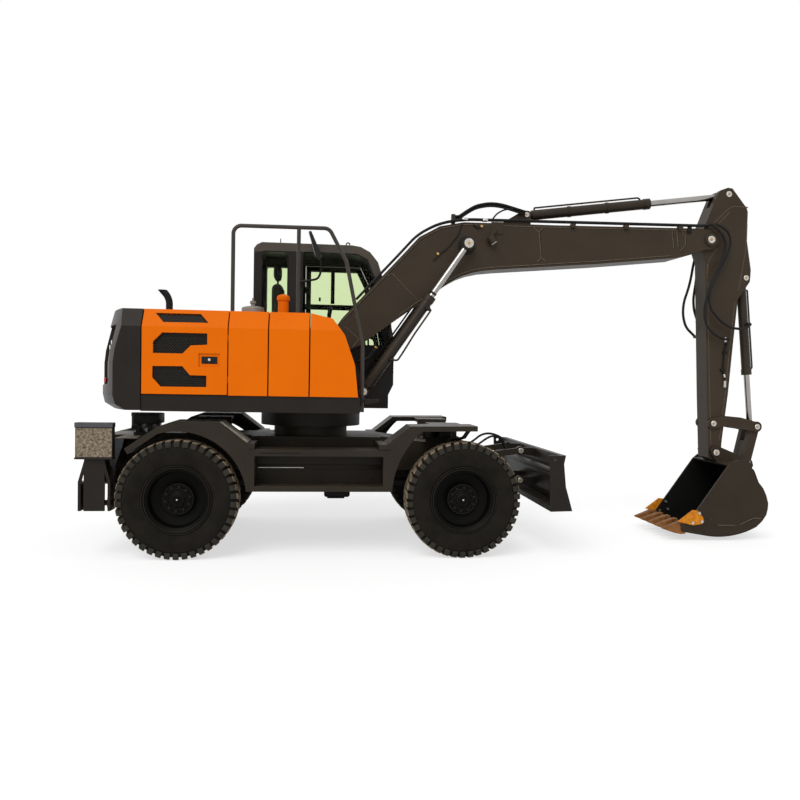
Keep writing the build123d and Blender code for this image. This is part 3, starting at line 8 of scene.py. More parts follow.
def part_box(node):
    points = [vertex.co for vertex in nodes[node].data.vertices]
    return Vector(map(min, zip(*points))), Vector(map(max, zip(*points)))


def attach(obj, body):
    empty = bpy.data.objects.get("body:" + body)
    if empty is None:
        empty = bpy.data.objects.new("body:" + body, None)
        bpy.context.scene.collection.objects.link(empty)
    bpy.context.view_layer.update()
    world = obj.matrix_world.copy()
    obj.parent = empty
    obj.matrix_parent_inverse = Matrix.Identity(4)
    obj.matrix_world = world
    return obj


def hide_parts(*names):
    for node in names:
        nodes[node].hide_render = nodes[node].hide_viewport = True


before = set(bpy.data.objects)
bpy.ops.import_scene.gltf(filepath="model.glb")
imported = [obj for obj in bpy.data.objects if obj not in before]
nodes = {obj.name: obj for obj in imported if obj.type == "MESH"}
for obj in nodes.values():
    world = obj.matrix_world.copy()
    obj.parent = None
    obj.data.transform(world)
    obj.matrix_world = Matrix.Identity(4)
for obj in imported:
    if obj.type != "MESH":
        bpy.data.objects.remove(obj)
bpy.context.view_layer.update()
print("frame in place:", len(nodes), "solids")


def middleOf(name):
    low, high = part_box(name)
    return (low + high) / 2


rearX = middleOf("tyre_rear_right").x
swingX, armX, armZ, bucketX, bucketZ, footX, footZ = 1100, 5120, 3035, 5248, 863, 1300, 1850


def at(x, y, z):
    # millimetres from the rear axle, the middle plane and the ground, into the frame's metres
    return Vector((rearX + x / 1000, y / 1000, z / 1000))


def onArm(x, y, z):
    return at(armX + x, y, armZ + z)


def onBucket(x, y, z):
    return at(bucketX + x, y, bucketZ + z)


def onBoom(x, y, z):
    return at(footX + x, y, footZ + z)


def onUpper(x, y, z):
    return at(swingX + x, y, z)


# node helpers: every finish is put together from these few calls
def connect(tree, node, **inputs):
    # links a socket or sets a value; at0 stands for the first input, and _ for a space in a name
    for name, value in inputs.items():
        socket = node.inputs[int(name[2:]) if name.startswith("at") else name.replace("_", " ")]
        if isinstance(value, bpy.types.NodeSocket):
            tree.links.new(value, socket)
        else:
            socket.default_value = value


def addNode(tree, kind, settings=None, **inputs):
    node = tree.nodes.new("ShaderNode" + kind)
    for name, value in (settings or {}).items():
        setattr(node, name, value)
    connect(tree, node, **inputs)
    return node


def newMaterial(name):
    material = bpy.data.materials.new(name)
    material.use_nodes = True
    return material, material.node_tree, material.node_tree.nodes["Principled BSDF"]


def newGroup(name, inputs, outputs):
    group = bpy.data.node_groups.new(name, "ShaderNodeTree")
    for label, kind, value in inputs:
        group.interface.new_socket(label, in_out="INPUT", socket_type="NodeSocket" + kind).default_value = value
    for label, kind in outputs:
        group.interface.new_socket(label, in_out="OUTPUT", socket_type="NodeSocket" + kind)
    return group, group.nodes.new("NodeGroupInput"), group.nodes.new("NodeGroupOutput")


def mixColour(tree, factor, first, second):
    return addNode(tree, "Mix", dict(data_type="RGBA"), at0=factor, at6=first, at7=second).outputs[2]


def mixValue(tree, factor, first, second):
    return addNode(tree, "Mix", dict(data_type="FLOAT"), at0=factor, at2=first, at3=second).outputs[0]


def maths(tree, operation, first, second=0.0, clamp=False):
    return addNode(tree, "Math", dict(operation=operation, use_clamp=clamp), at0=first, at1=second).outputs[0]


def vectorMaths(tree, operation, first, second):
    return addNode(tree, "VectorMath", dict(operation=operation), at0=first, at1=second)


def ramp(tree, value, low, high):
    # 0 at low, 1 at high
    return addNode(tree, "MapRange", Value=value, From_Min=low, From_Max=high).outputs[0]


def noise(tree, place, size, detail, rough=0.5):
    return addNode(tree, "TexNoise", Vector=place, Scale=size, Detail=detail, Roughness=rough).outputs[0]


def placeIn(tree):
    return addNode(tree, "TexCoord").outputs["Object"]


def colour(red, green, blue, alpha=1.0):
    # sRGB 0 to 255 into the linear values the shader takes
    def linear(value):
        value = value / 255
        return value / 12.92 if value <= 0.04045 else ((value + 0.055) / 1.055) ** 2.4
    return (linear(red), linear(green), linear(blue), alpha)


# shared effects
def buildPatchy():
    # slow change of tone and fine grain over a surface
    group, ins, outs = newGroup("patchy", [
        ("First", "Color", (0.1, 0.1, 0.1, 1)), ("Second", "Color", (0.12, 0.12, 0.12, 1)),
        ("Size", "Float", 3.0), ("Rough", "Float", 0.4), ("Swing", "Float", 0.1)],
        [("Color", "Color"), ("Roughness", "Float")])
    wide = noise(group, placeIn(group), ins.outputs["Size"], 4.0, 0.55)
    tone = mixColour(group, ramp(group, wide, 0.35, 0.65), ins.outputs["First"], ins.outputs["Second"])
    change = maths(group, "MULTIPLY", maths(group, "SUBTRACT", wide, 0.5), ins.outputs["Swing"])
    connect(group, outs, Color=tone, Roughness=maths(group, "ADD", ins.outputs["Rough"], change, True))
    return group


def buildDust():
    # dust that lies on what faces up, and splashes near the ground
    group, ins, outs = newGroup("dust", [
        ("Amount", "Float", 0.3), ("Size", "Float", 9.0), ("Low", "Float", 0.0)],
        [("Mask", "Float")])
    place, facing = placeIn(group), addNode(group, "NewGeometry").outputs["Normal"]
    normal, point = [addNode(group, "SeparateXYZ", Vector=source) for source in (facing, place)]
    speck = noise(group, place, ins.outputs["Size"], 6.0, 0.7)
    near = maths(group, "MULTIPLY", ramp(group, point.outputs[2], 0.9, 0.0), ins.outputs["Low"])
    either = maths(group, "ADD", ramp(group, normal.outputs[2], 0.3, 1.0), near, True)
    broken = maths(group, "MULTIPLY", either, ramp(group, speck, 0.38, 0.68))
    connect(group, outs, Mask=maths(group, "MULTIPLY", broken, ins.outputs["Amount"], True))
    return group


def buildEdge():
    # where a sheet or casting turns a corner: the mask is 1, and the normal is eased round it
    group, ins, outs = newGroup("edge", [("Radius", "Float", 0.004), ("Gain", "Float", 2.0)],
        [("Mask", "Float"), ("Normal", "Vector")])
    eased = addNode(group, "Bevel", dict(samples=4), Radius=ins.outputs["Radius"])
    facing = addNode(group, "NewGeometry")
    agree = vectorMaths(group, "DOT_PRODUCT", eased.outputs[0], facing.outputs["True Normal"])
    turn = maths(group, "SUBTRACT", 1.0, agree.outputs["Value"])
    connect(group, outs, Mask=maths(group, "MULTIPLY", turn, ins.outputs["Gain"], True), Normal=eased.outputs[0])
    return group


patchyGroup, dustGroup, edgeGroup = buildPatchy(), buildDust(), buildEdge()
dustColour = colour(134, 121, 103)


def partMask(tree, other):
    # 1 where the second look shows: near a place in two of the axes, or beyond a value along one of them
    place = addNode(tree, "TexCoord")
    if "near" in other:
        centre = Vector(other["near"])
        keep = Vector([0.0 if letter == other["along"] else 1.0 for letter in "XYZ"])
        across = vectorMaths(tree, "MULTIPLY", place.outputs["Object"], keep)
        away = vectorMaths(tree, "DISTANCE", across.outputs[0], centre * keep)
        return maths(tree, "LESS_THAN", away.outputs["Value"], other["radius"])
    # faces towards the hollow take the second look, which paints the shade inside it
    if "inside" in other:  # what faces the hollow round this place
        away = vectorMaths(tree, "SUBTRACT", place.outputs["Object"], Vector(other["inside"]))
        facing = vectorMaths(tree, "DOT_PRODUCT", away.outputs[0], place.outputs["Normal"])
        return maths(tree, "LESS_THAN", facing.outputs["Value"], -0.05)
    parts = addNode(tree, "SeparateXYZ", Vector=place.outputs["Object"])
    value = parts.outputs["XYZ".index(other["axis"])]
    if other.get("bothSides"):
        value = maths(tree, "ABSOLUTE", value)
    return maths(tree, "GREATER_THAN", value, other["beyond"])


def newFinish(name, look):
    material, tree, shader = newMaterial(name)
    connect(tree, shader, Metallic=look.get("metallic", 0.0), Coat_Weight=look.get("coat", 0.0), Coat_Roughness=0.08,
        Specular_IOR_Level=look.get("specular", 0.14))
    patchy = addNode(tree, "Group", dict(node_tree=patchyGroup), First=look["first"], Second=look["second"],
        Size=look.get("size", 3.0), Rough=look["rough"], Swing=look.get("swing", 0.12))
    tone, rough, normal = patchy.outputs["Color"], patchy.outputs["Roughness"], None
    # lighter corners: a painted highlight along the edges, with some wear
    if look.get("edge"):
        edge = addNode(tree, "Group", dict(node_tree=edgeGroup), Radius=look["edge"], Gain=1.6)
        edgeLightAndWear = maths(tree, "MULTIPLY", edge.outputs["Mask"], look["edgeShare"])
        tone = mixColour(tree, edgeLightAndWear, tone, look["edgeColour"])
        normal = edge.outputs["Normal"]
    if look.get("dust"):
        dust = addNode(tree, "Group", dict(node_tree=dustGroup), Amount=look["dust"], Size=9.0,
            Low=look.get("low", 0.0))
        tone = mixColour(tree, dust.outputs["Mask"], tone, look.get("dustColour", dustColour))
    if look.get("other"):
        other = look["other"]
        second = addNode(tree, "Group", dict(node_tree=patchyGroup), First=other["first"], Second=other["second"],
            Size=other.get("size", 3.0), Rough=other["rough"], Swing=other.get("swing", 0.05))
        mask = partMask(tree, other)
        tone = mixColour(tree, mask, tone, second.outputs["Color"])
        rough = mixValue(tree, mask, rough, second.outputs["Roughness"])
        connect(tree, shader,
            Metallic=mixValue(tree, mask, look.get("metallic", 0.0), other.get("metallic", 0.0)))
    connect(tree, shader, Base_Color=tone, Roughness=rough)
    if look.get("bump"):
        grain = noise(tree, placeIn(tree), look.get("grain", 150.0), 3.0)
        bump = addNode(tree, "Bump", Strength=look["bump"], Distance=look.get("depth", 0.002), Height=grain)
        if normal:
            connect(tree, bump, Normal=normal)
        normal = bump.outputs[0]
    if normal:
        connect(tree, shader, Normal=normal)
    return material


def look(first, second, rough, edgeLightAndWear=None, **more):
    # two sRGB tones, the roughness, and lighter edges, a painted highlight with some wear: how wide, their tone and
    # how much of it shows
    made = dict(first=colour(*first), second=colour(*second), rough=rough, **more)
    if edgeLightAndWear:
        made.update(edge=edgeLightAndWear[0], edgeColour=colour(*edgeLightAndWear[1]), edgeShare=edgeLightAndWear[2])
    return made


finishes = {
    "darkPaint": look((37, 32, 25), (43, 37, 29), 0.42, (0.005, (116, 104, 88), 0.5), dust=0.12, bump=0.06,
        grain=90.0),
    "boomPaint": look((50, 41, 31), (54, 45, 34), 0.42, (0.006, (112, 99, 84), 0.5), dust=0.1, bump=0.05, grain=80.0),
    "tailPaint": look((29, 24, 20), (33, 28, 24), 0.38, (0.006, (96, 90, 82), 0.4), dust=0.05, bump=0.04,
        grain=120.0),
    "orangePaint": look((211, 98, 0), (215, 101, 0), 0.42, (0.004, (250, 150, 50), 0.5), dust=0.02, swing=0.04,
        specular=0.06),
    "cabPaint": look((28, 26, 24), (34, 31, 28), 0.36, (0.004, (90, 84, 76), 0.4), dust=0.05),
    "blackPaint": look((17, 16, 15), (23, 22, 20), 0.45, (0.003, (70, 66, 60), 0.4), dust=0.12),
    "railPaint": look((52, 49, 45), (60, 57, 52), 0.35, (0.003, (120, 114, 104), 0.5)),
    # the inside of the bucket is near-black: painted shade in its hollow
    "bucketPaint": look((41, 34, 25), (46, 38, 28), 0.45, (0.004, (128, 116, 98), 0.55), dust=0.05, bump=0.05,
        grain=70.0, other=look((8, 7, 6), (12, 11, 9), 0.7, inside=onBucket(20, 0, -460))),
    "barrelPaint": look((42, 36, 29), (50, 42, 34), 0.36, (0.004, (96, 84, 70), 0.4), dust=0.08),
    "tyreRubber": look((22, 20, 17), (30, 27, 23), 0.75, (0.004, (84, 76, 66), 0.5), size=7.0, dust=0.1, low=0.06,
        specular=0.06, dustColour=colour(128, 108, 88), bump=0.12, grain=220.0),
    # lighter than the plates: a painted highlight on the weld beads
    "weldSeamHighlight": look((104, 93, 78), (84, 74, 61), 0.5, size=40.0, bump=0.2, grain=260.0),
    "greyCast": look((66, 68, 72), (78, 78, 80), 0.5, size=8.0, dust=0.5, dustColour=colour(150, 140, 122)),
    "lighterRoofBand": look((70, 65, 58), (76, 70, 62), 0.4, (0.003, (120, 112, 100), 0.5)),
    "silver": look((206, 204, 198), (178, 175, 168), 0.3, metallic=0.85, size=40.0),
    "wheelPaint": look((5, 5, 4), (9, 8, 6), 0.5, (0.003, (62, 56, 48), 0.7), specular=0.06),
    # thin lines lighter than what they lie on: painted highlights
    "paintedHighlightLine": look((54, 48, 41), (34, 30, 25), 0.45),
    "deckDust": look((150, 142, 126), (112, 103, 88), 0.8, size=14.0, bump=0.3, grain=120.0),
    "treadPlate": look((176, 170, 156), (128, 120, 104), 0.7, size=30.0, bump=0.4, grain=90.0),
    "gapLight": look((244, 244, 242), (250, 250, 250), 0.8),
    # the dark line beside each seam: painted shade
    "seamShade": look((22, 18, 14), (26, 21, 16), 0.6),
    "brass": look((196, 158, 96), (170, 132, 80), 0.34, metallic=1.0, size=30.0),
    "hoseRubber": look((20, 19, 18), (27, 26, 24), 0.5, bump=0.1, grain=300.0),
    "engineIron": look((40, 38, 36), (58, 55, 50), 0.55, size=8.0, bump=0.2, grain=60.0),
    "plastic": look((24, 24, 25), (30, 30, 31), 0.55, bump=0.12, grain=400.0),
    "seatFabric": look((33, 33, 36), (44, 44, 48), 0.9, size=60.0, bump=0.3, grain=700.0),
    "toothSteel": look((108, 70, 36), (132, 88, 48), 0.55, (0.003, (176, 128, 76), 0.5), metallic=0.1, size=18.0,
        bump=0.15, grain=120.0),
    "gritTape": look((74, 64, 50), (142, 130, 112), 0.85, size=46.0, bump=0.5, grain=160.0, depth=0.004),
    "lampGlass": look((236, 236, 230), (222, 222, 216), 0.12, coat=1.0),
    "redLamp": look((150, 14, 10), (170, 20, 12), 0.2, coat=1.0),
    "mirrorFace": look((150, 156, 158), (158, 164, 166), 0.05, metallic=1.0, swing=0.0),
}
chrome = look((150, 147, 143), (166, 163, 158), 0.16, metallic=1.0, swing=0.03)
eyePaint = look((46, 40, 33), (54, 47, 38), 0.45)
rods = {  # each bright rod, the middle of its eye, the eye's axis and how far its paint reaches
    "lift_rods": (onBoom(1297, -240, 1036), "Y", 0.075), "crowd_rod": (onArm(205, 0, 481), "Y", 0.072),
    "tilt_rod": (onArm(565, 0, -1901), "Y", 0.062), "blade_rod": (at(2980, 0, 569), "Y", 0.045),
    "outrigger_rod_right": (at(-680, -835, 700), "X", 0.046), "outrigger_rod_left": (at(-680, 835, 700), "X", 0.046)}
for name, (place, along, radius) in rods.items():
    finishes[f"{name}Chrome"] = dict(chrome, other=dict(eyePaint, near=place, along=along, radius=radius))
finishes["armPaint"] = dict(finishes["boomPaint"], other=look(
    (206, 204, 198), (178, 175, 168), 0.3, metallic=0.85, near=onArm(208, -126, 0), along="Z", radius=0.019))
finishes["stackPaint"] = dict(finishes["orangePaint"], other=look(
    (150, 146, 138), (120, 116, 108), 0.4, metallic=0.4, near=at(578, -600, 0), along="Z", radius=0.12))
for end in ("front", "rear"):
    finishes[f"{end}Lugs"] = look(
        (134, 118, 98), (88, 76, 62), 0.8, size=22.0, bump=0.15, grain=200.0,
        other=look((38, 36, 31), (48, 45, 39), 0.75, size=12.0, near=middleOf(f"tyre_{end}_right"), along="Y",
            radius=0.4985))
finishes["toothAndCutter"] = dict(finishes["toothSteel"], other=look(
    (206, 128, 22), (170, 100, 20), 0.45, size=26.0, axis="Y", beyond=0.3668, bothSides=True))
paint = {name: newFinish(name, look) for name, look in finishes.items()}

glassLook = dict(tint=(0.80, 0.88, 0.66, 1.0), rough=0.01, index=1.12)


def newGlass():
    # thin tinted pane
    material, tree, shader = newMaterial("cabGlass")
    connect(tree, shader, Base_Color=glassLook["tint"], Roughness=glassLook["rough"], Transmission_Weight=1.0,
        IOR=glassLook["index"])
    return material


def newMesh():
    # regular holes between lighter wires; the holes are painted near-black, the shade behind the mesh
    material = newFinish("grilleMesh", look((5, 5, 4), (7, 6, 5), 0.7))
    tree = material.node_tree
    shader = tree.nodes["Principled BSDF"]
    turned = addNode(tree, "Mapping", Vector=placeIn(tree), Scale=(1.0, 0.0, 1.0),
        Rotation=(0.0, math.radians(45), 0.0))
    cells = addNode(tree, "TexVoronoi", dict(feature="DISTANCE_TO_EDGE"), Vector=turned.outputs[0], Scale=56.0,
        Randomness=0.0)
    wire, holesInShade = ramp(tree, cells.outputs["Distance"], 0.2, 0.1), shader.inputs["Base Color"].links[0].from_socket
    connect(tree, shader, Base_Color=mixColour(tree, wire, holesInShade, colour(46, 43, 39)))
    return material


paint["grilleMesh"] = newMesh()
paint["cabGlass"] = newGlass()
print("finishes ready:", len(paint))


# finish of each solid
wheels = [f"{end}_{side}" for end in ("front", "rear") for side in ("right", "left")]
dressed = {
    "darkPaint": ["chassis_frame", "outrigger_beam", "fenders_rear", "fenders_front", "side_steps", "blade_arms",
        "blade_links"],
    "blackPaint": ["rear_axle", "front_axle", "driveline", "knuckle_right", "knuckle_left", "blade_barrel", "exhaust",
        "outrigger_barrel_right", "outrigger_barrel_left"],
    "wheelPaint": [f"rim_{wheel}" for wheel in wheels],
    "tyreRubber": [f"tyre_{wheel}" for wheel in wheels],
    "tailPaint": ["upper_frame", "counterweight", "blade", "outrigger_leg_right", "outrigger_leg_left"],
    "orangePaint": ["hood_door_right", "hood_door_left", "hood_top", "engine_lid", "side_housings"],
    "stackPaint": ["air_cleaner"],
    "toothAndCutter": ["bucket_teeth"],
    "engineIron": ["engine"],
    "cabPaint": ["cab_shell", "cab_door", "cab_fittings"],
    "railPaint": ["handrail"],
    "cabGlass": ["cab_glass", "door_glass"],
    "seatFabric": ["seat"],
    "boomPaint": ["boom", "rocker", "bucket_link"],
    "armPaint": ["arm"],
    "barrelPaint": ["lift_barrels", "crowd_barrel", "tilt_barrel"],
    "bucketPaint": ["bucket"],
    "hoseRubber": [name for name in nodes if "hoses" in name],
}
dressed.update({f"{name}Chrome": [name] for name in rods})
for finish, names in dressed.items():
    for name in names:
        if name in nodes:
            nodes[name].data.materials.clear()
            nodes[name].data.materials.append(paint[finish])
print("solids dressed")


# mesh helpers
sharpAngle = math.radians(32)


def newObject(name, data):
    made = bpy.data.objects.new(name, data)
    bpy.context.scene.collection.objects.link(made)
    return made


def toObject(name, mesh):
    data = bpy.data.meshes.new(name)
    mesh.to_mesh(data)
    mesh.free()
    return newObject(name, data)


def newPiece(name, mesh, finish, body):
    # turns a bmesh into an object at the origin that moves with its body
    bmesh.ops.recalc_face_normals(mesh, faces=mesh.faces)
    piece = toObject(name, mesh)
    piece.data.shade_smooth()
    piece.data.set_sharp_from_angle(angle=sharpAngle)
    piece.data.materials.append(paint[finish])
    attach(piece, body)
    return piece


def bevelled(mesh, edges, width, segments=2):
    bmesh.ops.bevel(mesh, geom=list(dict.fromkeys(edges)), offset=width, offset_type="OFFSET", segments=segments,
        profile=0.5, affect="EDGES", material=-1, clamp_overlap=True)


def eased(mesh, verts, width, segments=2):
    bevelled(mesh, [edge for vert in verts for edge in vert.link_edges], width, segments)


def addBlock(mesh, low, high, edge=0.0, segments=2, turn=None):
    low, high = [Vector(map(pick, low, high)) for pick in (min, max)]
    size = high - low
    place = Matrix.Translation((low + high) / 2) @ (turn or Matrix.Identity(4)) @ Matrix.Diagonal((*size, 1.0))
    made = bmesh.ops.create_cube(mesh, size=1.0, matrix=place)
    if edge:
        eased(mesh, made["verts"], edge, segments)


def addRod(mesh, start, end, radius, sides=24, edge=0.0):
    start, end = Vector(start), Vector(end)
    turn = (end - start).to_track_quat("Z", "Y").to_matrix().to_4x4()
    made = bmesh.ops.create_cone(mesh, cap_ends=True, segments=sides, radius1=radius, radius2=radius,
        depth=(end - start).length, matrix=Matrix.Translation((start + end) / 2) @ turn)
    if edge:
        rims = [line for vert in made["verts"] for line in vert.link_edges
            if any(len(face.verts) > 4 for face in line.link_faces)]
        bevelled(mesh, rims, edge)


def addTurned(mesh, profile, centre, axis, steps, closed=False):
    # profile: (along the axis, out from it) pairs, spun a full turn
    axis = Vector(axis).normalized()
    side = Vector((0, 0, 1)) if abs(axis.z) < 0.9 else Vector((1, 0, 0))
    verts = [mesh.verts.new(Vector(centre) + axis * along + side * out) for along, out in profile]
    pairs = list(zip(verts, verts[1:])) + ([(verts[-1], verts[0])] if closed else [])
    edges = [mesh.edges.new(pair) for pair in pairs]
    bmesh.ops.spin(mesh, geom=verts + edges, cent=centre, axis=axis, dvec=(0, 0, 0), angle=math.tau, steps=steps,
        use_merge=True, use_duplicate=False)
    poles = [vert for vert in mesh.verts if (vert.co - Vector(centre)).cross(axis).length < 1e-5]
    bmesh.ops.remove_doubles(mesh, verts=poles, dist=1e-6)


def addPlate(mesh, outline, along, edge=0.0):
    # outline: points in space of one flat face, pushed out by the vector along
    face = mesh.faces.new([mesh.verts.new(point) for point in outline])
    made = bmesh.ops.extrude_face_region(mesh, geom=[face])
    moved = [item for item in made["geom"] if isinstance(item, bmesh.types.BMVert)]
    bmesh.ops.translate(mesh, verts=moved, vec=along)
    if edge:
        eased(mesh, moved + list(face.verts), edge, 1)


def addTube(mesh, points, radius, sides=10):
    # a tube through the points: one ring, pushed on and turned at each of them
    points = [Vector(point) for point in points]
    ahead = (points[1] - points[0]).normalized()
    turn = ahead.to_track_quat("Z", "Y").to_matrix().to_4x4()
    made = bmesh.ops.create_circle(mesh, cap_ends=True, segments=sides, radius=radius,
        matrix=Matrix.Translation(points[0]) @ turn)
    ring = [edge for edge in mesh.edges if all(vert in made["verts"] for vert in edge.verts)]
    for index in range(1, len(points)):
        pushed = bmesh.ops.extrude_edge_only(mesh, edges=ring)["geom"]
        verts = [item for item in pushed if isinstance(item, bmesh.types.BMVert)]
        ring = [item for item in pushed
            if isinstance(item, bmesh.types.BMEdge) and all(vert in verts for vert in item.verts)]
        bmesh.ops.translate(mesh, verts=verts, vec=points[index] - points[index - 1])
        if index < len(points) - 1:
            onward = (points[index + 1] - points[index]).normalized()
            middle = (ahead + onward).normalized()
            swing = ahead.rotation_difference(middle) if index == 1 else lastMiddle.rotation_difference(middle)
            bmesh.ops.rotate(mesh, verts=verts, cent=points[index], matrix=swing.to_matrix())
            lastMiddle, ahead = middle, onward
    bmesh.ops.contextual_create(mesh, geom=ring)


def rounded(points, radius, steps=6):
    # a route of straight runs with its corners rounded
    points = [Vector(point) for point in points]
    if not radius:
        return points
    route = [points[0]]
    for before, corner, after in zip(points, points[1:], points[2:]):
        into, out = (before - corner), (after - corner)
        reach = min(radius, into.length * 0.49, out.length * 0.49)
        start, end = corner + into.normalized() * reach, corner + out.normalized() * reach
        for step in range(steps + 1):
            share = step / steps
            route.append(start.lerp(corner, share).lerp(corner.lerp(end, share), share))
    return route + [points[-1]]


def addHex(mesh, centre, axis, radius, height):
    # a bolt head standing on its face
    addRod(mesh, centre, Vector(centre) + Vector(axis).normalized() * height, radius, sides=6)


def loop(points):
    # a closed route that starts halfway along its first side
    points = [Vector(point) for point in points]
    middle = (points[0] + points[1]) / 2
    return [middle] + points[1:] + [points[0], middle]


def flat(outline, y):
    return [(x, y, z) for x, z in outline]


def build(name, finish, body, rows, place=at, hands=(1,)):
    # one piece from rows of a shape, its places and its sizes in mm; hand 1 takes them as written, -1 mirrors them
    mesh = bmesh.new()
    for hand in hands:
        for shape, *row in rows:
            shapes[shape](mesh, lambda point: place(point[0], hand * point[1], point[2]),
                lambda way: Vector((way[0], hand * way[1], way[2])), *row)
    return newPiece(name, mesh, finish, body)


# rows of a parts table: the shape's name, then what its function takes, in mm
shapes = {
    "block": lambda mesh, put, way, low, high, edge=0, segments=2: addBlock(
        mesh, put(low), put(high), edge / 1000, segments),
    "rod": lambda mesh, put, way, start, end, radius, sides, edge=0: addRod(
        mesh, put(start), put(end), radius / 1000, sides, edge / 1000),
    "tube": lambda mesh, put, way, points, radius, sides, bend=0, steps=6: addTube(
        mesh, rounded([put(point) for point in points], bend / 1000, steps), radius / 1000, sides),
    "plate": lambda mesh, put, way, points, push, edge=0: addPlate(
        mesh, [put(point) for point in points], way(push) / 1000, edge / 1000),
    "turned": lambda mesh, put, way, profile, centre, axis, steps, closed=False: addTurned(
        mesh, [(along / 1000, reach / 1000) for along, reach in profile], put(centre), way(axis), steps, closed)}


both = (-1, 1)


# tyres
tyreLook = dict(lugs=42, lugLength=0.046, steps=126, slant=0.03, lugEdge=0.0035, blockSize=(0.04, 0.036),
    blockTurn=0.5, blockEdge=0.003)


def addAllRound(mesh, start, centre, turn):
    # turns what was added since start about the wheel's axis, and repeats it all round
    mesh.verts.ensure_lookup_table()
    made = mesh.verts[start:]
    bmesh.ops.rotate(mesh, verts=made, cent=centre, matrix=Matrix.Rotation(turn, 3, "Y"))
    chosen = set(made)
    geom = made + [edge for edge in mesh.edges if edge.verts[0] in chosen]
    geom += [face for face in mesh.faces if face.verts[0] in chosen]
    bmesh.ops.spin(mesh, geom=geom, cent=centre, axis=(0, 1, 0), dvec=(0, 0, 0), angle=math.tau,
        steps=tyreLook["lugs"], use_merge=False, use_duplicate=True)


def addedSince(mesh, start):
    mesh.verts.ensure_lookup_table()
    return mesh.verts[start:]


def buildTyre(name, body):
    low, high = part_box(name)
    centre = (low + high) / 2
    radius = (high.z - low.z) / 2
    half = (high.y - low.y) / 2
    mesh = bmesh.new()
    carcass = [(0.40, 0.552), (0.72, 0.560), (0.84, 0.580), (0.92, 0.640), (0.965, 0.700), (0.985, 0.745),
        (0.985, 0.790), (0.965, 0.840), (0.955, 0.846), (0.955, 0.858), (0.92, 0.872), (0.86, 0.930), (0.80, 0.952),
        (0.40, 0.962)]
    profile = [(along * half, out * radius) for along, out in carcass]
    profile += [(0.0, 0.966 * radius)] + [(-along, out) for along, out in reversed(profile)]
    addTurned(mesh, profile, centre, (0, 1, 0), tyreLook["steps"], closed=True)
    tyre = newPiece(f"{name}_casing", mesh, "tyreRubber", body)
    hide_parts(name)

    mesh = bmesh.new()
    span = tyreLook["lugLength"] / 2
    pitch = math.tau / tyreLook["lugs"]
    shape = [(0.34, 0.955), (0.34, 1.0), (0.80, 0.999), (0.93, 0.985), (0.992, 0.950), (0.995, 0.885), (0.975, 0.876),
        (0.90, 0.90), (0.80, 0.945)]
    for hand in both:
        start = len(mesh.verts)
        outline = [centre + Vector((-span, hand * along * half, out * radius)) for along, out in shape]
        addPlate(mesh, outline, (2 * span, 0, 0))
        made = addedSince(mesh, start)
        for vert in made:  # the inner end is cut on a slant, like the real tread blocks
            inner = 1 - min(1.0, abs(vert.co.y - centre.y) / (0.8 * half))
            vert.co.x += inner * tyreLook["slant"]
        eased(mesh, made, tyreLook["lugEdge"], 1)
        addAllRound(mesh, start, centre, pitch / 2 if hand > 0 else 0.0)
    bmesh.ops.remove_doubles(mesh, verts=mesh.verts, dist=1e-5)
    length, width = tyreLook["blockSize"]
    for hand in both:  # two rows of slanted blocks round the middle of the tread
        start = len(mesh.verts)
        y = hand * 0.06 * half
        addBlock(mesh, centre + Vector((-length / 2, y - width / 2, 0.955 * radius)),
            centre + Vector((length / 2, y + width / 2, 0.996 * radius)),
            turn=Matrix.Rotation(hand * tyreLook["blockTurn"], 4, "Z"))
        made = addedSince(mesh, start)
        bmesh.ops.translate(mesh, verts=made, vec=(0, hand * 0.016, 0))
        eased(mesh, made, tyreLook["blockEdge"], 1)
        addAllRound(mesh, start, centre, hand * pitch / 4)
    bmesh.ops.remove_doubles(mesh, verts=mesh.verts, dist=1e-5)
    lugs = newPiece(f"{name}_tread", mesh, "frontLugs" if "front" in name else "rearLugs", body)


for wheel in wheels:
    buildTyre(f"tyre_{wheel}", f"wheel_{wheel}")
print("tyres built")


# hood: mesh behind the grilles, latches, lamps in the tail's recesses
hoodLook = dict(sideY=1000, shoulderZ=1965, topY=900, topZ=2116, meshBack=24, weave=16)
grilles = (
    ((-200, 2081), (173, 2081), (244, 2004), (-127, 2002)),
    ((-204, 1838), (-130, 1914), (239, 1914), (239, 1819), (104, 1810), (37, 1741), (-204, 1741)),
    ((-208, 1633), (38, 1635), (99, 1561), (235, 1559), (235, 1463), (-141, 1462), (-208, 1537)))


def crossings(outline, level):
    found = []
    for (x0, z0), (x1, z1) in zip(outline, outline[1:] + outline[:1]):
        if (z0 - level) * (z1 - level) < 0:
            found.append(x0 + (x1 - x0) * (level - z0) / (z1 - z0))
    return sorted(found)


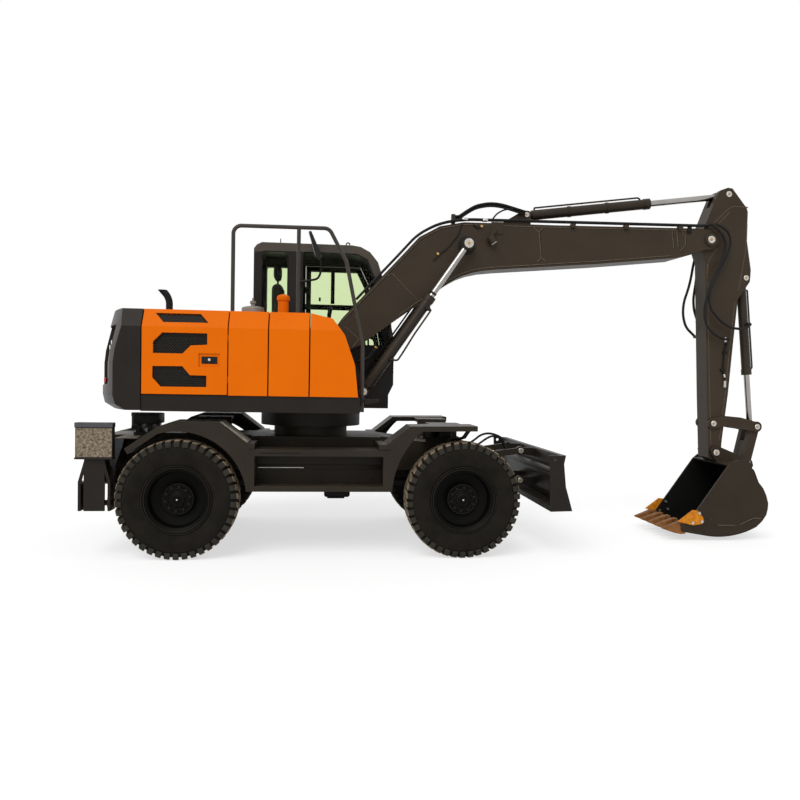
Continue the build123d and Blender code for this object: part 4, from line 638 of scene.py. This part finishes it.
def buildGrilles(hand, body):
    back, sideY, shoulderZ = hoodLook["meshBack"], hoodLook["sideY"], hoodLook["shoulderZ"]
    mesh = bmesh.new()
    for outline in grilles:
        points = []
        onShoulder = min(rise for _, rise in outline) > shoulderZ
        for x, z in outline:
            lean = (z - shoulderZ) / (hoodLook["topZ"] - shoulderZ) * (sideY - hoodLook["topY"])
            y, sunk = (sideY - lean - back * 0.55, z - back * 0.4) if onShoulder else (sideY - back, z)
            points.append(at(x, hand * y, sunk))
        addPlate(mesh, points, (0, -hand * 0.002, 0))
    # a plate behind each grille, its holes painted as shade
    newPiece(f"{body}_mesh", mesh, "grilleMesh", body)

    wires, y = [], sideY - back + 3  # woven wires, seen through the openings
    for outline in grilles[1:]:
        levels = [z for _, z in outline]
        for step in range(1, int((max(levels) - min(levels)) / hoodLook["weave"])):
            level = min(levels) + step * hoodLook["weave"]
            crossing = crossings(outline, level)
            for left, right in zip(crossing[::2], crossing[1::2]):
                wires.append(("rod", (left + 1, y, level), (right - 1, y, level), 1.6, 4))
    build(f"{body}_wires", "blackPaint", body, wires, hands=(hand,))
    build(f"{body}_latch", "plastic", body, [("block", (192, 987, 1659), (323, 991, 1720), 1, 1),
        ("block", (205, 991, 1668), (296, 997, 1712), 2, 2)], hands=(hand,))
    build(f"{body}_lock", "silver", body, [("rod", (257, 997, 1693), (257, 1000, 1693), 11, 24, 1)], hands=(hand,))


tailLook = dict(whites=((21, 1835, 1834), (22, 1790, 1850)), red=(14, 1505, 1866), grooveLevel=1396, grooveReach=1911)


def buildTail(hand, name):
    def around(turn, level, reach):
        angle = math.radians(turn)
        return (swingX - reach * math.cos(angle), reach * math.sin(angle), level)

    hands = (hand,)
    for part, finish, near, far, radius, edge in (
            ("shells", "plastic", -2, 14, 26, 3), ("glass", "lampGlass", 13, 18, 20, 2)):
        build(f"tail_lamp_{part}_{name}", finish, "upper", [
            ("rod", around(turn, level, reach + near), around(turn, level, reach + far), radius, 24, edge)
            for turn, level, reach in tailLook["whites"]], hands=hands)
    reds = bmesh.new()
    x, y, z = around(*tailLook["red"])
    centre = at(x, hand * y, z)
    addBlock(reds, centre - Vector((0.01, 0.055, 0.02)), centre + Vector((0.01, 0.055, 0.02)), 0.004, 2,
        Matrix.Rotation(hand * math.radians(tailLook["red"][0]), 4, "Z"))
    newPiece(f"tail_lamp_red_{name}", reds, "redLamp", "upper")
    level, reach = tailLook["grooveLevel"], tailLook["grooveReach"]
    side = [(-322, 1000, level), (-527, 1000, level)]
    side += [around(step, level, reach) for step in (31.3, 30.2, 29.0, 28.2)]
    middle = [around(step, level, reach) for step in (8.8, 6.6, 4.4, 2.2, 0.0)]
    # a thin lighter line along the groove: painted highlight
    build(f"tail_groove_highlight_{name}", "paintedHighlightLine", "upper", [("tube", side, 2.2, 6), ("tube", middle, 2.2, 6)],
        hands=hands)


for hand, side in ((-1, "right"), (1, "left")):
    buildGrilles(hand, f"hood_door_{side}")
    buildTail(hand, side)
print("hood dressed")


# pins: a bright cap with its bolt and grease nipple over each pin's end
capLook = dict(thick=5, boltShare=0.36)
pinCaps = (  # body, place, the face it lies on, radius
    ("lift_rods", onBoom(1297, 0, 1036), 273.5, 45), ("boom", onBoom(1920, 0, 1379), 62, 25),
    ("boom", onArm(0, 0, 0), 162, 37), ("arm", onArm(205, 0, 481), 105, 30),
    ("arm", onArm(417, 0, -368), 105, 27), ("arm", onArm(87, 0, -1873), 145, 29),
    ("rocker", onArm(565, 0, -1901), 141.5, 28), ("bucket", onBucket(349, 0, -109), 133.5, 30),
    ("bucket", onBucket(0, 0, 0), 141.5, 32), ("upper", onBoom(0, 0, 0), 191, 38),
    ("lift_barrels", at(1600, 0, 1433), 274, 34), ("chassis", at(2593, 0, 515), 295.5, 25),
    ("chassis", at(2593, 0, 805), 295.5, 25), ("blade_board", at(3148, 0, 593), 295.5, 26),
    ("blade_board", at(3148, 0, 883), 295.5, 26))


def buildPinCaps():
    bodies, thick = {}, capLook["thick"]
    for body, place, face, radius in pinCaps:
        bodies.setdefault(body, (bmesh.new(), bmesh.new()))
        rings, middles = bodies[body]
        for hand in both:
            start = place + Vector((0, hand * face / 1000, 0))
            out = Vector((0, hand, 0))
            profile = [(0, radius), (0.7 * thick, radius), (thick, radius - 2), (thick, radius * 0.62),
                (thick * 0.55, radius * 0.56), (thick * 0.55, 0.0)]
            addTurned(rings, [(along / 1000, reach / 1000) for along, reach in profile], start, out, 32)
            inner = radius * capLook["boltShare"] / 1000
            addHex(middles, start + out * thick * 0.5 / 1000, out, inner, 0.006)
            addRod(middles, start + out * 0.006, start + out * 0.014, inner * 0.3, 10)
    for body, (rings, middles) in bodies.items():
        newPiece(f"{body}_pin_caps", rings, "silver", body)
        newPiece(f"{body}_pin_bolts", middles, "brass", body)


buildPinCaps()
print("pins capped")


# welded seams and creases that stand a little proud of the plates, painted lighter as a highlight, each with a dark
# line of painted shade beside it
seamLook = dict(radius=3.6, sides=6)
seams = {
    "boom": [[(524, 713), (567, 741), (799, 513), (826, 490)], [(116, 211), (261, 91), (194, 15)],
        [(1965, 1245), (2026, 1195), (2054, 940), (2018, 905)], [(2026, 1195), (2074, 1250)],
        [(2054, 940), (2100, 912)], [(3407, 1256), (3430, 1085)], [(3458, 1258), (3478, 1100)],
        [(3496, 1275), (3555, 1213), (3552, 1120), (3500, 1060)],
        [(640, 336), (1010, 602), (1133, 692), (1240, 752), (1344, 791), (1460, 818), (1623, 837), (2637, 928),
        (3400, 1010)], [(100, 275), (700, 928), (838, 1082), (1036, 1192), (1268, 1240), (2178, 1247), (3560, 1270)]],
    "arm": [[(408, 358), (259, 361), (195, 328), (30, 160)], [(222, 305), (86, 160)],
        [(404, 189), (402, -84), (339, -500)], [(92, -71), (-6, -223), (-20, -470)],
        [(-4, -219), (22, -900), (60, -1627), (84, -2089)], [(300, -620), (262, -1057), (224, -1572), (176, -2036)]],
    "bucket": [[(-165, -644), (-99, -706), (131, -706), (296, -633), (372, -640)]],
}
seamPlace = {"boom": (onBoom, 140), "arm": (onArm, 102.0), "bucket": (onBucket, 367)}  # and half the body's width


def buildSeams(body, lines):
    place, half = seamPlace[body]
    # each seam, lighter as a painted highlight, and the dark line beside it, a painted shade
    for name, finish, ahead, inward, down in (("seams", "weldSeamHighlight", 0, 0, 0),
            ("seam_shades", "seamShade", 9, 1.5, 5)):
        rows = []
        for line in lines:
            points = [(x + ahead, half - inward, z - down) for x, z in line]
            rows.append(("tube", points, seamLook["radius"], seamLook["sides"], 20, 3))
        build(f"{body}_{name}", finish, body, rows, place, both)


for body, lines in seams.items():
    buildSeams(body, lines)
print("seams laid")


# boom: lamp glass, grease lines and fittings on the plate
build("boom_lamp_glass", "lampGlass", "boom", [("rod", (1560.4, -190, 1061.8), (1563.98, -190, 1056.98), 33, 32, 2)],
    onBoom)
build("boom_fittings", "brass", "boom", [
    ("rod", (2742, -139, 3078), (2742, -160, 3078), 14, 6),
    ("rod", (2311, -139, 2790), (2311, -166, 2790), 13, 16, 2)])
build("boom_grease_lines", "hoseRubber", "boom", [
    ("tube", ((2550, -146, 3100), (2519, -147, 2994), (2407, -148, 2851), (2337, -150, 2796), (2268, -150, 2724)),
        6, 8, 80),
    ("tube", ((2742, -150, 3078), (2700, -152, 3055), (2660, -150, 3090)), 7, 8, 30),
    ("tube", ((2860, -112, 3160), (2900, -112, 3215), (2980, -108, 3262), (3072, -104, 3270)), 8, 8, 80)])
build("boom_pipe_sleeves", "silver", "boom", [
    ("rod", (first, y, 3139.5), (last, y, 3141), 14.5, 16, 1)
    for first, last in ((2547, 2600), (2752, 2801)) for y in (-125, -154)])
build("boom_boss_rings", "blackPaint", "boom", [
    ("turned", ((0, 90), (7, 88), (9, 80), (9, 60), (0, 60)), (1297, 140, 1036), (0, 1, 0), 48, True)], onBoom, both)
build("boom_side_clamp", "blackPaint", "boom", [
    ("block", (4866, -150, 3088), (4912, -140, 3160), 3),
    *[("rod", (4889, -150, z), (4889, -157, z), 9, 6) for z in (3104, 3144)]])

# arm: fittings of its hoses; then the small parts round the boom's foot, on the deck and on the hood
build("arm_ferrules", "silver", "arm", [
    ("rod", (203, -118, -986), (201, -118, -1036), 12, 20, 1),
    ("rod", (195, -118, -1364), (207, -118, -1396), 12, 20, 2)], onArm)
armClamps = ((206, -1140), (185, -1323))
build("arm_clamps", "blackPaint", "arm", [
    *[("block", (x - 24, -126, z - 12), (x + 24, -104, z + 12), 3) for x, z in armClamps],
    *[("rod", (x, -126, z), (x, -132, z), 8, 6) for x, z in armClamps]], onArm)
build("boom_foot_hoses", "hoseRubber", "boom", [
    ("tube", ((300, -60, 130), (405, -60, 108), (424, -60, 40), (376, -60, -50), (330, -60, -110), (240, -60, -120)),
        14, 10, 60),
    ("tube", ((553, -90, 270), (560, -90, 190), (564, -90, 118)), 18, 12, 20)], onBoom)
build("boom_foot_ring", "brass", "boom", [("rod", (424, -60, 30), (419, -60, 12), 19, 16, 2)], onBoom)
build("deck_bracket", "tailPaint", "upper", [
    ("plate", flat(((1546, 1384), (1708, 1381), (1698, 1353), (1581, 1329)), -903), (0, -6, 0), 1),
    ("rod", (1572, -909, 1371), (1572, -915, 1371), 9, 6), ("rod", (1690, -909, 1370), (1690, -915, 1370), 9, 6)])
build("filler_ring", "orangePaint", "upper", [
    ("turned", ((0, 98), (0, 108), (6, 107), (9, 100)), (578, -600, 2116), (0, 0, 1), 48, True)])
print("boom dressed")


# pipes along the cylinders
pipeRadius = 9


def beside(foot, eye, steps):
    # places beside a cylinder: how far along it and how far off its middle line
    run = (Vector(eye) - Vector(foot)).normalized()
    off = Vector((-run.z, 0, run.x))
    return [Vector(foot) + run * along + off * out for along, out in steps]


def buildCylinderPipes():
    foot, eye = (1600, 240, 1433), (footX + 1297, 240, footZ + 1036)
    right = ((2190, -300, 2246), (2236, -304, 2232), (2177, -305, 2143), (2077, -305, 1996), (1968, -305, 1814),
        (1918, -305, 1738), (1850, -300, 1745))
    # on top of its cylinder, clear of the cab
    left = beside(foot, eye, ((360, 48), (360, 68), (1020, 68), (1020, 48)))
    build("lift_pipes", "barrelPaint", "lift_barrels",
        [("tube", right, pipeRadius, 10, 20), ("tube", left, pipeRadius, 10, 20)])
    gland = beside(foot, eye, ((1120, 0),))[0]
    collar, axis = ((-12, 50), (-12, 60), (6, 60), (12, 50), (12, 34)), Vector(eye) - Vector(foot)
    build("lift_pipe_clamps", "blackPaint", "lift_barrels", [
        *[("block", (x - 22, -305, z - 20), (x + 22, -273, z + 20), 4) for x, z in ((2204, 2240), (1862, 1742))],
        *[("turned", collar, (gland.x, y, gland.z), axis, 36) for y in (-240, 240)]])

    foot, eye = (3220, 0, 3229), (armX + 205, 0, armZ + 481)
    ring, axis = ((-14, 50.5), (-14, 56), (14, 56), (14, 50.5)), Vector(eye) - Vector(foot)
    build("crowd_pipe", "barrelPaint", "crowd_barrel", [
        ("tube", beside(foot, eye, ((100, 50), (100, 72), (1200, 72), (1220, 52))), pipeRadius, 10, 25),
        *[("turned", ring, place, axis, 32, True) for place in beside(foot, eye, ((450, 0), (850, 0)))]])

    foot, eye = (armX + 417, 0, armZ - 368), (armX + 565, 0, armZ - 1901)
    build("tilt_pipe", "barrelPaint", "tilt_barrel", [
        ("tube", beside(foot, eye, ((120, 46), (120, 66), (930, 66), (950, 46))), pipeRadius, 10, 20)])


buildCylinderPipes()
print("cylinder pipes laid")


# bucket: bolts of the side cutters, with nuts on the inside
cutterBolts = ((-299, -580), (-271, -664), (-365, -677))
build("bucket_bolts", "silver", "bucket", [
    *[("rod", (x, 385.3, z), (x, 395.3, z), 15, 6) for x, z in cutterBolts],
    *[("rod", (x, 348, z), (x, 330, z), 14, 6) for x, z in cutterBolts]], onBucket, both)
print("bucket dressed")


# wheels: hub, nuts, and thin rings in the dish painted lighter as highlights
hubLook = dict(nuts=10, nutRing=104, nutRadius=12, rings=((0.0675, 0.0505), (0.0485, 0.0735), (0.129, 0.044),
    (0.088, 0.052), (0.289, 0.1175), (0.27, 0.1165)))


def buildHub(wheel):
    body = f"wheel_{wheel}"
    centre = middleOf(f"rim_{wheel}")
    out = Vector((0, -1 if "right" in wheel else 1, 0))
    mesh = bmesh.new()
    profile = [(0.018, 0.069), (0.05, 0.069), (0.056, 0.064), (0.06, 0.05), (0.074, 0.047), (0.08, 0.04),
        (0.082, 0.018), (0.09, 0.014), (0.091, 0.0)]
    addTurned(mesh, profile, centre, out, 40)
    addTurned(mesh, [(0.0435, 0.084), (0.052, 0.086), (0.052, 0.09), (0.0435, 0.092)], centre, out, 48, closed=True)
    newPiece(f"{body}_hub", mesh, "wheelPaint", body)
    # thin lighter rings on the rim's edges: painted highlights
    rings = bmesh.new()
    for reach, face in hubLook["rings"]:
        addTurned(rings, [(face, reach - 0.0022), (face + 0.0022, reach), (face, reach + 0.0022)], centre, out, 56,
            closed=True)
    newPiece(f"{body}_rings", rings, "paintedHighlightLine", body)
    nuts = bmesh.new()
    for index in range(hubLook["nuts"]):
        angle = math.tau * index / hubLook["nuts"] + 0.2
        place = centre + Vector((math.cos(angle), 0, math.sin(angle))) * hubLook["nutRing"] / 1000 + out * 0.044
        addHex(nuts, place, out, hubLook["nutRadius"] / 1000, 0.014)
        addRod(nuts, place + out * 0.013, place + out * 0.022, 0.006, 10)
    newPiece(f"{body}_nuts", nuts, "blackPaint", body)
    dot = bmesh.new()
    addRod(dot, centre + out * 0.09, centre + out * 0.096, 0.007, 12, 0.001)
    newPiece(f"{body}_nipple", dot, "silver", body)


for wheel in wheels:
    buildHub(wheel)
print("wheels dressed")


# undercarriage: pads' grit faces, box behind the rear wheel, bolts, hoses and brackets
for hand, side in ((-1, "right"), (1, "left")):
    leg = f"outrigger_leg_{side}"
    build(f"{leg}_grit", "gritTape", leg, [("block", (-826, 974.5, 864), (-534, 978.5, 1108), 1, 1)], hands=(hand,))
    build(f"{leg}_lip", "greyCast", leg, [("block", (-833, 984, 1114), (-527, 987, 1150), 1, 1)], hands=(hand,))
    build(f"outrigger_pin_plates_{side}", "blackPaint", "chassis", [
        ("rod", (x, 800, 455), (x + 4, 800, 455), 34, 32, 1) for x in (-820.5, -543.5)], hands=(hand,))
build("rear_box", "blackPaint", "chassis", [
    ("block", (-455, -600, 1122), (-236, -330, 1212), 6), ("block", (-440, -560, 1030), (-250, -200, 1042), 2),
    ("block", (-440, -560, 1042), (-400, -380, 1117), 3), ("block", (-340, -560, 1042), (-300, -380, 1117), 3),
    ("rod", (-470, -520, 1090), (-470, -420, 1090), 20, 24, 3),
    ("rod", (-470, -470, 1090), (-420, -470, 1090), 12, 16)])
build("beam_gussets", "greyCast", "chassis", [
    ("block", (-570, 302, 988), (-395, 632, 1000), 2),
    ("plate", flat(((-625, 998), (-505, 998), (-518, 935), (-590, 730), (-625, 770)), 690), (0, 12, 0), 2)],
    hands=both)
build("beam_deck_dust", "deckDust", "chassis", [
    ("block", (-566, -688, 1001), (-400, -470, 1006), 1, 1), ("block", (-566, 470, 1001), (-400, 688, 1006), 1, 1),
    ("block", (-788, -688, 1000.5), (-572, -680, 1003), 0.5, 1),
    ("block", (-788, 300, 1000.5), (-572, 308, 1003), 0.5, 1)])
build("fender_treads", "treadPlate", "chassis", [
    ("plate", ((352, 655, 1169), (352, 985, 1169), (578, 985, 997), (578, 655, 997)), (2.5, 0, 3.5))], hands=both)
# a near-white strip painted where light from the backdrop shows through the gap under the step
build("step_light_gaps", "gapLight", "chassis", [("block", (651, 720, 753), (1052, 722, 759.5))], hands=both)
# a thin lighter strip on the fender: painted highlight
build("fender_slot_highlights", "paintedHighlightLine", "chassis", [("block", (-35, 999.8, 1092), (97, 1000.8, 1096))], hands=both)
build("step_beams", "darkPaint", "chassis", [
    ("block", (640, 720, 762), (1740, 728, 784), 2), ("block", (1080, 720, 742), (1740, 728, 762), 2)], hands=both)
build("gearbox_sump", "blackPaint", "chassis", [
    ("block", (1240, -150, 400), (1490, 150, 470), 20, 2), ("block", (1270, -120, 384), (1440, 120, 402), 10, 2)])
build("step_bolts", "darkPaint", "chassis", [
    *[("rod", (x, 720, z), (x, 729, z), 12, 6)
        for x, z in ((638, 818), (1652, 852), (1109, 623), (663, 664), (1652, 664))],
    *[("rod", (x, 1000, 912), (x, 1006, 912), 9, 6) for x in (620, 1112, 1760)]], hands=both)
# thin black strips painted as the shade inside the step's slits
build("step_slit_shades", "blackPaint", "chassis", [
    ("block", (690, 999.7, 905), (1030, 1001.3, 917), 0.4, 1),
    *[("block", (x, 703.5, 780), (x + 30, 704.5, 784)) for x in (700, 760, 820)]], hands=both)
nearHose = ((2600, 880), (2723, 958), (2800, 1020), (2878, 1036), (2957, 1017), (3020, 984), (3046, 907), (3060, 880))
farHose = ((2680, 850), (2760, 890), (2816, 925), (2886, 975), (2936, 998), (3005, 991), (3050, 940), (3064, 890))
build("blade_hoses", "hoseRubber", "chassis", [
    ("tube", flat(nearHose, -58), 11, 10, 120), ("tube", flat(farHose, 58), 11, 10, 120)])
build("front_canister", "blackPaint", "chassis", [
    ("rod", (2214, -420, 1013), (2214, -420, 1120), 58, 32, 8),
    ("rod", (2214, -420, 1120), (2214, -420, 1128), 30, 24, 2),
    ("block", (2150, -440, 1000), (2280, -290, 1014), 2), ("block", (2300, -520, 1020), (2420, -330, 1075), 6),
    ("block", (2290, -430, 1000), (2430, -290, 1020), 2)])
build("fender_struts", "blackPaint", "chassis", [
    ("rod", (2509, 900, 1122), (2462, 890, 1050), 18, 12), ("rod", (2462, 892, 1052), (2440, 560, 1000), 14, 12),
    ("rod", (2440, 570, 1002), (2430, 290, 950), 16, 12)], hands=both)
print("undercarriage dressed")


# cab: seals, roof band, mirror glass, seat and controls; these places are from the swing axis
cabOpenings = (
    (302, ((-520, 1900), (-520, 2836), (-290, 2836), (-256, 2800), (-256, 1900))),
    (302, ((-110, 1900), (-110, 2840), (440, 2836), (540, 2780), (618, 2600), (740, 1900))),
    (1030, ((-520, 1900), (-520, 2780), (-180, 2780), (-180, 1900))))
roofBand = ((-598, 2823), (-445, 2841), (440, 2843), (555, 2790), (630, 2610), (704, 2632), (660, 2763), (576, 2863),
    (480, 2912), (390, 2925), (-520, 2925), (-570, 2900), (-600, 2860))


def buildCab():
    build("window_seals", "plastic", "upper", [
        ("tube", loop(flat(outline, y)), 7, 8, 30, 4) for y, outline in cabOpenings], onUpper)
    build("window_bars", "plastic", "cab_door", [
        ("block", (190, 980, 2386), (232, 989, 2790), 4), ("block", (-133, 980, 2318), (460, 989, 2378), 6),
        ("block", (57, 972, 2412), (80, 980, 2454), 3)], onUpper)
    # a band along the top of the cab, lighter than the rest of the cab
    build("roof_band", "lighterRoofBand", "upper", [
        ("plate", flat(roofBand, 302), (0, -2, 0)), ("plate", flat(roofBand, 1030), (0, 2, 0))], onUpper)
    build("mirror_glass", "mirrorFace", "upper", [
        ("plate", ((-49, 175, 3020), (-49, 290, 3020), (19, 290, 2790), (19, 175, 2790)), (-3, 0, -1))], onUpper)
    build("seat_base", "plastic", "upper", [  # folds of a rubber boot between two plates
        *[("turned", ((0, 130), (30, 165), (60, 130)), (-80, 666, 1500 + step * 60), (0, 0, 1), 32)
            for step in range(5)],
        ("block", (-260, 500, 1436), (100, 832, 1500), 10),
        ("block", (-300, 450, 1800), (130, 880, 1846), 12)], onUpper)

    controls, grips = [], []
    for y in (370, 940):
        controls += [
            ("block", (-250, y - 55, 1500), (230, y + 55, 2030), 20, 3),
            ("block", (-240, y - 45, 2036), (40, y + 45, 2076), 14, 3),
            ("tube", ((150, y, 2020), (155, y, 2110), (170, y, 2190)), 12, 12, 30),
            ("turned", ((0, 50), (30, 34), (50, 16)), (150, y, 2028), (0, 0, 1), 24)]
        profile = ((0, 0), (4, 18), (50, 22), (100, 24), (125, 16), (130, 0))
        grips.append(("turned", profile, (168, y, 2180), (0.1, 0, 1), 24))
    controls += [("block", (520, 420, 1436), (700, 912, 1760), 20, 3),
        ("tube", ((590, 666, 1500), (520, 666, 2040), (470, 666, 2170)), 35, 16, 100)]
    build("cab_controls", "plastic", "upper", controls, onUpper)
    wheel, axis = Vector((455, 666, 2190)), Vector((-0.42, 0, 1)).normalized()
    grips += [("turned", ((0, 165), (12, 178), (0, 190), (-12, 178)), wheel, axis, 48, True),
        ("turned", ((-20, 0), (-20, 50), (4, 45), (10, 0)), wheel, axis, 32)]
    for turn in (0.5, 2.6, 4.7):
        spoke = Vector((axis.z, 0, -axis.x)) * math.sin(turn) + Vector((0, 1, 0)) * math.cos(turn)
        grips.append(("rod", wheel + spoke * 40, wheel + spoke * 175, 9, 12))
    build("cab_grips", "hoseRubber", "upper", grips, onUpper)

    build("door_handle_bar", "railPaint", "cab_door", [
        ("tube", ((640, 1032, 1620), (640, 1066, 1640), (610, 1066, 2180), (610, 1032, 2200)), 11, 12, 30)], onUpper)
    build("door_latch", "plastic", "cab_door", [
        ("block", (560, 1031, 1830), (680, 1036, 1880), 2),
        ("block", (580, 1036, 1842), (660, 1046, 1866), 4)], onUpper)
    build("wiper", "plastic", "upper", [
        ("tube", ((818, 480, 1660), (826, 500, 1900), (800, 560, 2060)), 6, 8, 50),
        ("tube", ((826, 470, 1950), (796, 600, 2100)), 8, 6)], onUpper)


buildCab()


padParts = {  # low and high corner from the swing axis, crown, name
    "seat_cushion": ((-330, 436, 1856), (170, 896, 1986), 0.022),
    "seat_back": ((-424, 446, 1996), (-318, 886, 2556), 0.018),
    "seat_headrest": ((-420, 556, 2580), (-336, 776, 2756), 0.01),
}
clothLook = dict(voxel=0.008, pressure=4.0, frames=20)


def buildPad(name, low, high, cap):
    mesh = bmesh.new()
    low, high = onUpper(*low), onUpper(*high)
    shrink = Vector((cap, cap, cap)) * 0.6
    addBlock(mesh, low + shrink, high - shrink, 0.028, 4)
    bmesh.ops.recalc_face_normals(mesh, faces=mesh.faces)
    piece = toObject(name, mesh)
    remesh = piece.modifiers.new("remesh", "REMESH")
    remesh.mode = "VOXEL"
    remesh.voxel_size = clothLook["voxel"]
    applied(piece)
    before = [vert.co.copy() for vert in piece.data.vertices]
    cloth = piece.modifiers.new("cloth", "CLOTH")
    cloth.settings.use_pressure = True
    cloth.settings.uniform_pressure_force = clothLook["pressure"]
    cloth.settings.effector_weights.gravity = 0.0
    for frameNumber in range(1, clothLook["frames"] + 1):
        bpy.context.scene.frame_set(frameNumber)
    applied(piece)
    for vert, start in zip(piece.data.vertices, before):
        moved = vert.co - start
        if moved.length > cap:
            vert.co = start + moved.normalized() * cap
    bpy.context.scene.frame_set(1)
    smooth = piece.modifiers.new("smooth", "SUBSURF")
    smooth.levels = smooth.render_levels = 1
    applied(piece)
    piece.data.shade_smooth()
    piece.data.materials.append(paint["seatFabric"])
    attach(piece, "upper")
    if name == "seat_cushion":
        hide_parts("seat")


def applied(piece):
    graph = bpy.context.evaluated_depsgraph_get()
    made = bpy.data.meshes.new_from_object(piece.evaluated_get(graph))
    piece.modifiers.clear()
    old = piece.data
    piece.data = made
    bpy.data.meshes.remove(old)


def buildSeat():
    for name, part in padParts.items():
        buildPad(name, *part)
    low, high, _ = padParts["seat_cushion"]
    aroundCushion = [(x, y, 1921) for x, y in (low[:2], (high[0], low[1]), high[:2], (low[0], high[1]))]
    low, high, _ = padParts["seat_back"]
    middle = (low[0] + high[0]) / 2
    aroundBack = [(middle, y, z) for y, z in (low[1:], (high[1], low[2]), high[1:], (low[1], high[2]))]
    build("seat_piping", "plastic", "upper", [
        ("tube", loop(aroundCushion), 4, 8, 30, 4), ("tube", loop(aroundBack), 4, 8, 30, 4),
        *[("rod", (-375, y, 2540), (-375, y, 2600), 7, 12) for y in (620, 712)]], onUpper)


buildSeat()
print("cab dressed")


# camera, floor and light
cameraLook = dict(place=(-1.2681, -7.422, 1.5498), yaw=0.107, pitch=0.0264, roll=0.0177, lens=33.65)


def buildCamera():
    data = bpy.data.cameras.new("camera")
    data.lens = cameraLook["lens"]
    data.sensor_width = 36.0
    data.clip_end = 200.0
    camera = newObject("camera", data)
    yaw, pitch, roll = cameraLook["yaw"], cameraLook["pitch"], cameraLook["roll"]
    ahead = Vector((math.sin(yaw) * math.cos(pitch), math.cos(yaw) * math.cos(pitch), -math.sin(pitch)))
    right = Vector((math.cos(yaw), -math.sin(yaw), 0.0))
    up = right.cross(ahead)
    rightTurned = right * math.cos(roll) + up * math.sin(roll)
    upTurned = up * math.cos(roll) - right * math.sin(roll)
    turn = Matrix((rightTurned, upTurned, -ahead)).transposed().to_4x4()
    camera.matrix_world = Matrix.Translation(cameraLook["place"]) @ turn
    bpy.context.scene.camera = camera


stageLook = dict(size=90.0, floorWhite=0.9, glow=0.55, glowLevel=1.14, skyLevel=0.62, sunLevel=1.9, sunSpread=40.0,
    sunTurn=(42, -18, -8))


def buildStage():
    mesh = bmesh.new()
    bmesh.ops.create_grid(mesh, x_segments=1, y_segments=1, size=stageLook["size"])
    floor = toObject("floor", mesh)
    material, tree, shader = newMaterial("floorWhite")
    connect(tree, shader, Base_Color=(stageLook["floorWhite"],) * 3 + (1.0,), Roughness=0.9, Specular_IOR_Level=0.1)
    glow = addNode(tree, "Emission", Color=(1, 1, 1, 1), Strength=stageLook["glowLevel"])
    path = addNode(tree, "LightPath")
    share = maths(tree, "MULTIPLY", path.outputs["Is Camera Ray"], stageLook["glow"])
    mixed = addNode(tree, "MixShader", at0=share, at1=shader.outputs[0], at2=glow.outputs[0])
    connect(tree, tree.nodes["Material Output"], Surface=mixed.outputs[0])
    floor.data.materials.append(material)

    world = bpy.data.worlds.new("studio")
    bpy.context.scene.world = world
    world.use_nodes = True
    tree = world.node_tree
    sky = tree.nodes["Background"]
    connect(tree, sky, Color=(1, 1, 1, 1), Strength=stageLook["skyLevel"])
    white = addNode(tree, "Background", Color=(1, 1, 1, 1), Strength=1.0)
    path = addNode(tree, "LightPath")
    seen = maths(tree, "ADD", path.outputs["Is Camera Ray"], path.outputs["Is Transmission Ray"], True)
    seen = maths(tree, "ADD", seen, path.outputs["Is Glossy Ray"], True)
    mixed = addNode(tree, "MixShader", at0=seen, at1=sky.outputs[0], at2=white.outputs[0])
    connect(tree, tree.nodes["World Output"], Surface=mixed.outputs[0])

    sun = newObject("sun", bpy.data.lights.new("sun", "SUN"))
    sun.data.energy = stageLook["sunLevel"]
    sun.data.angle = math.radians(stageLook["sunSpread"])
    sun.rotation_euler = [math.radians(turn) for turn in stageLook["sunTurn"]]
    bpy.context.scene.view_settings.view_transform = "Standard"


buildCamera()
buildStage()
print("camera, floor and light set")
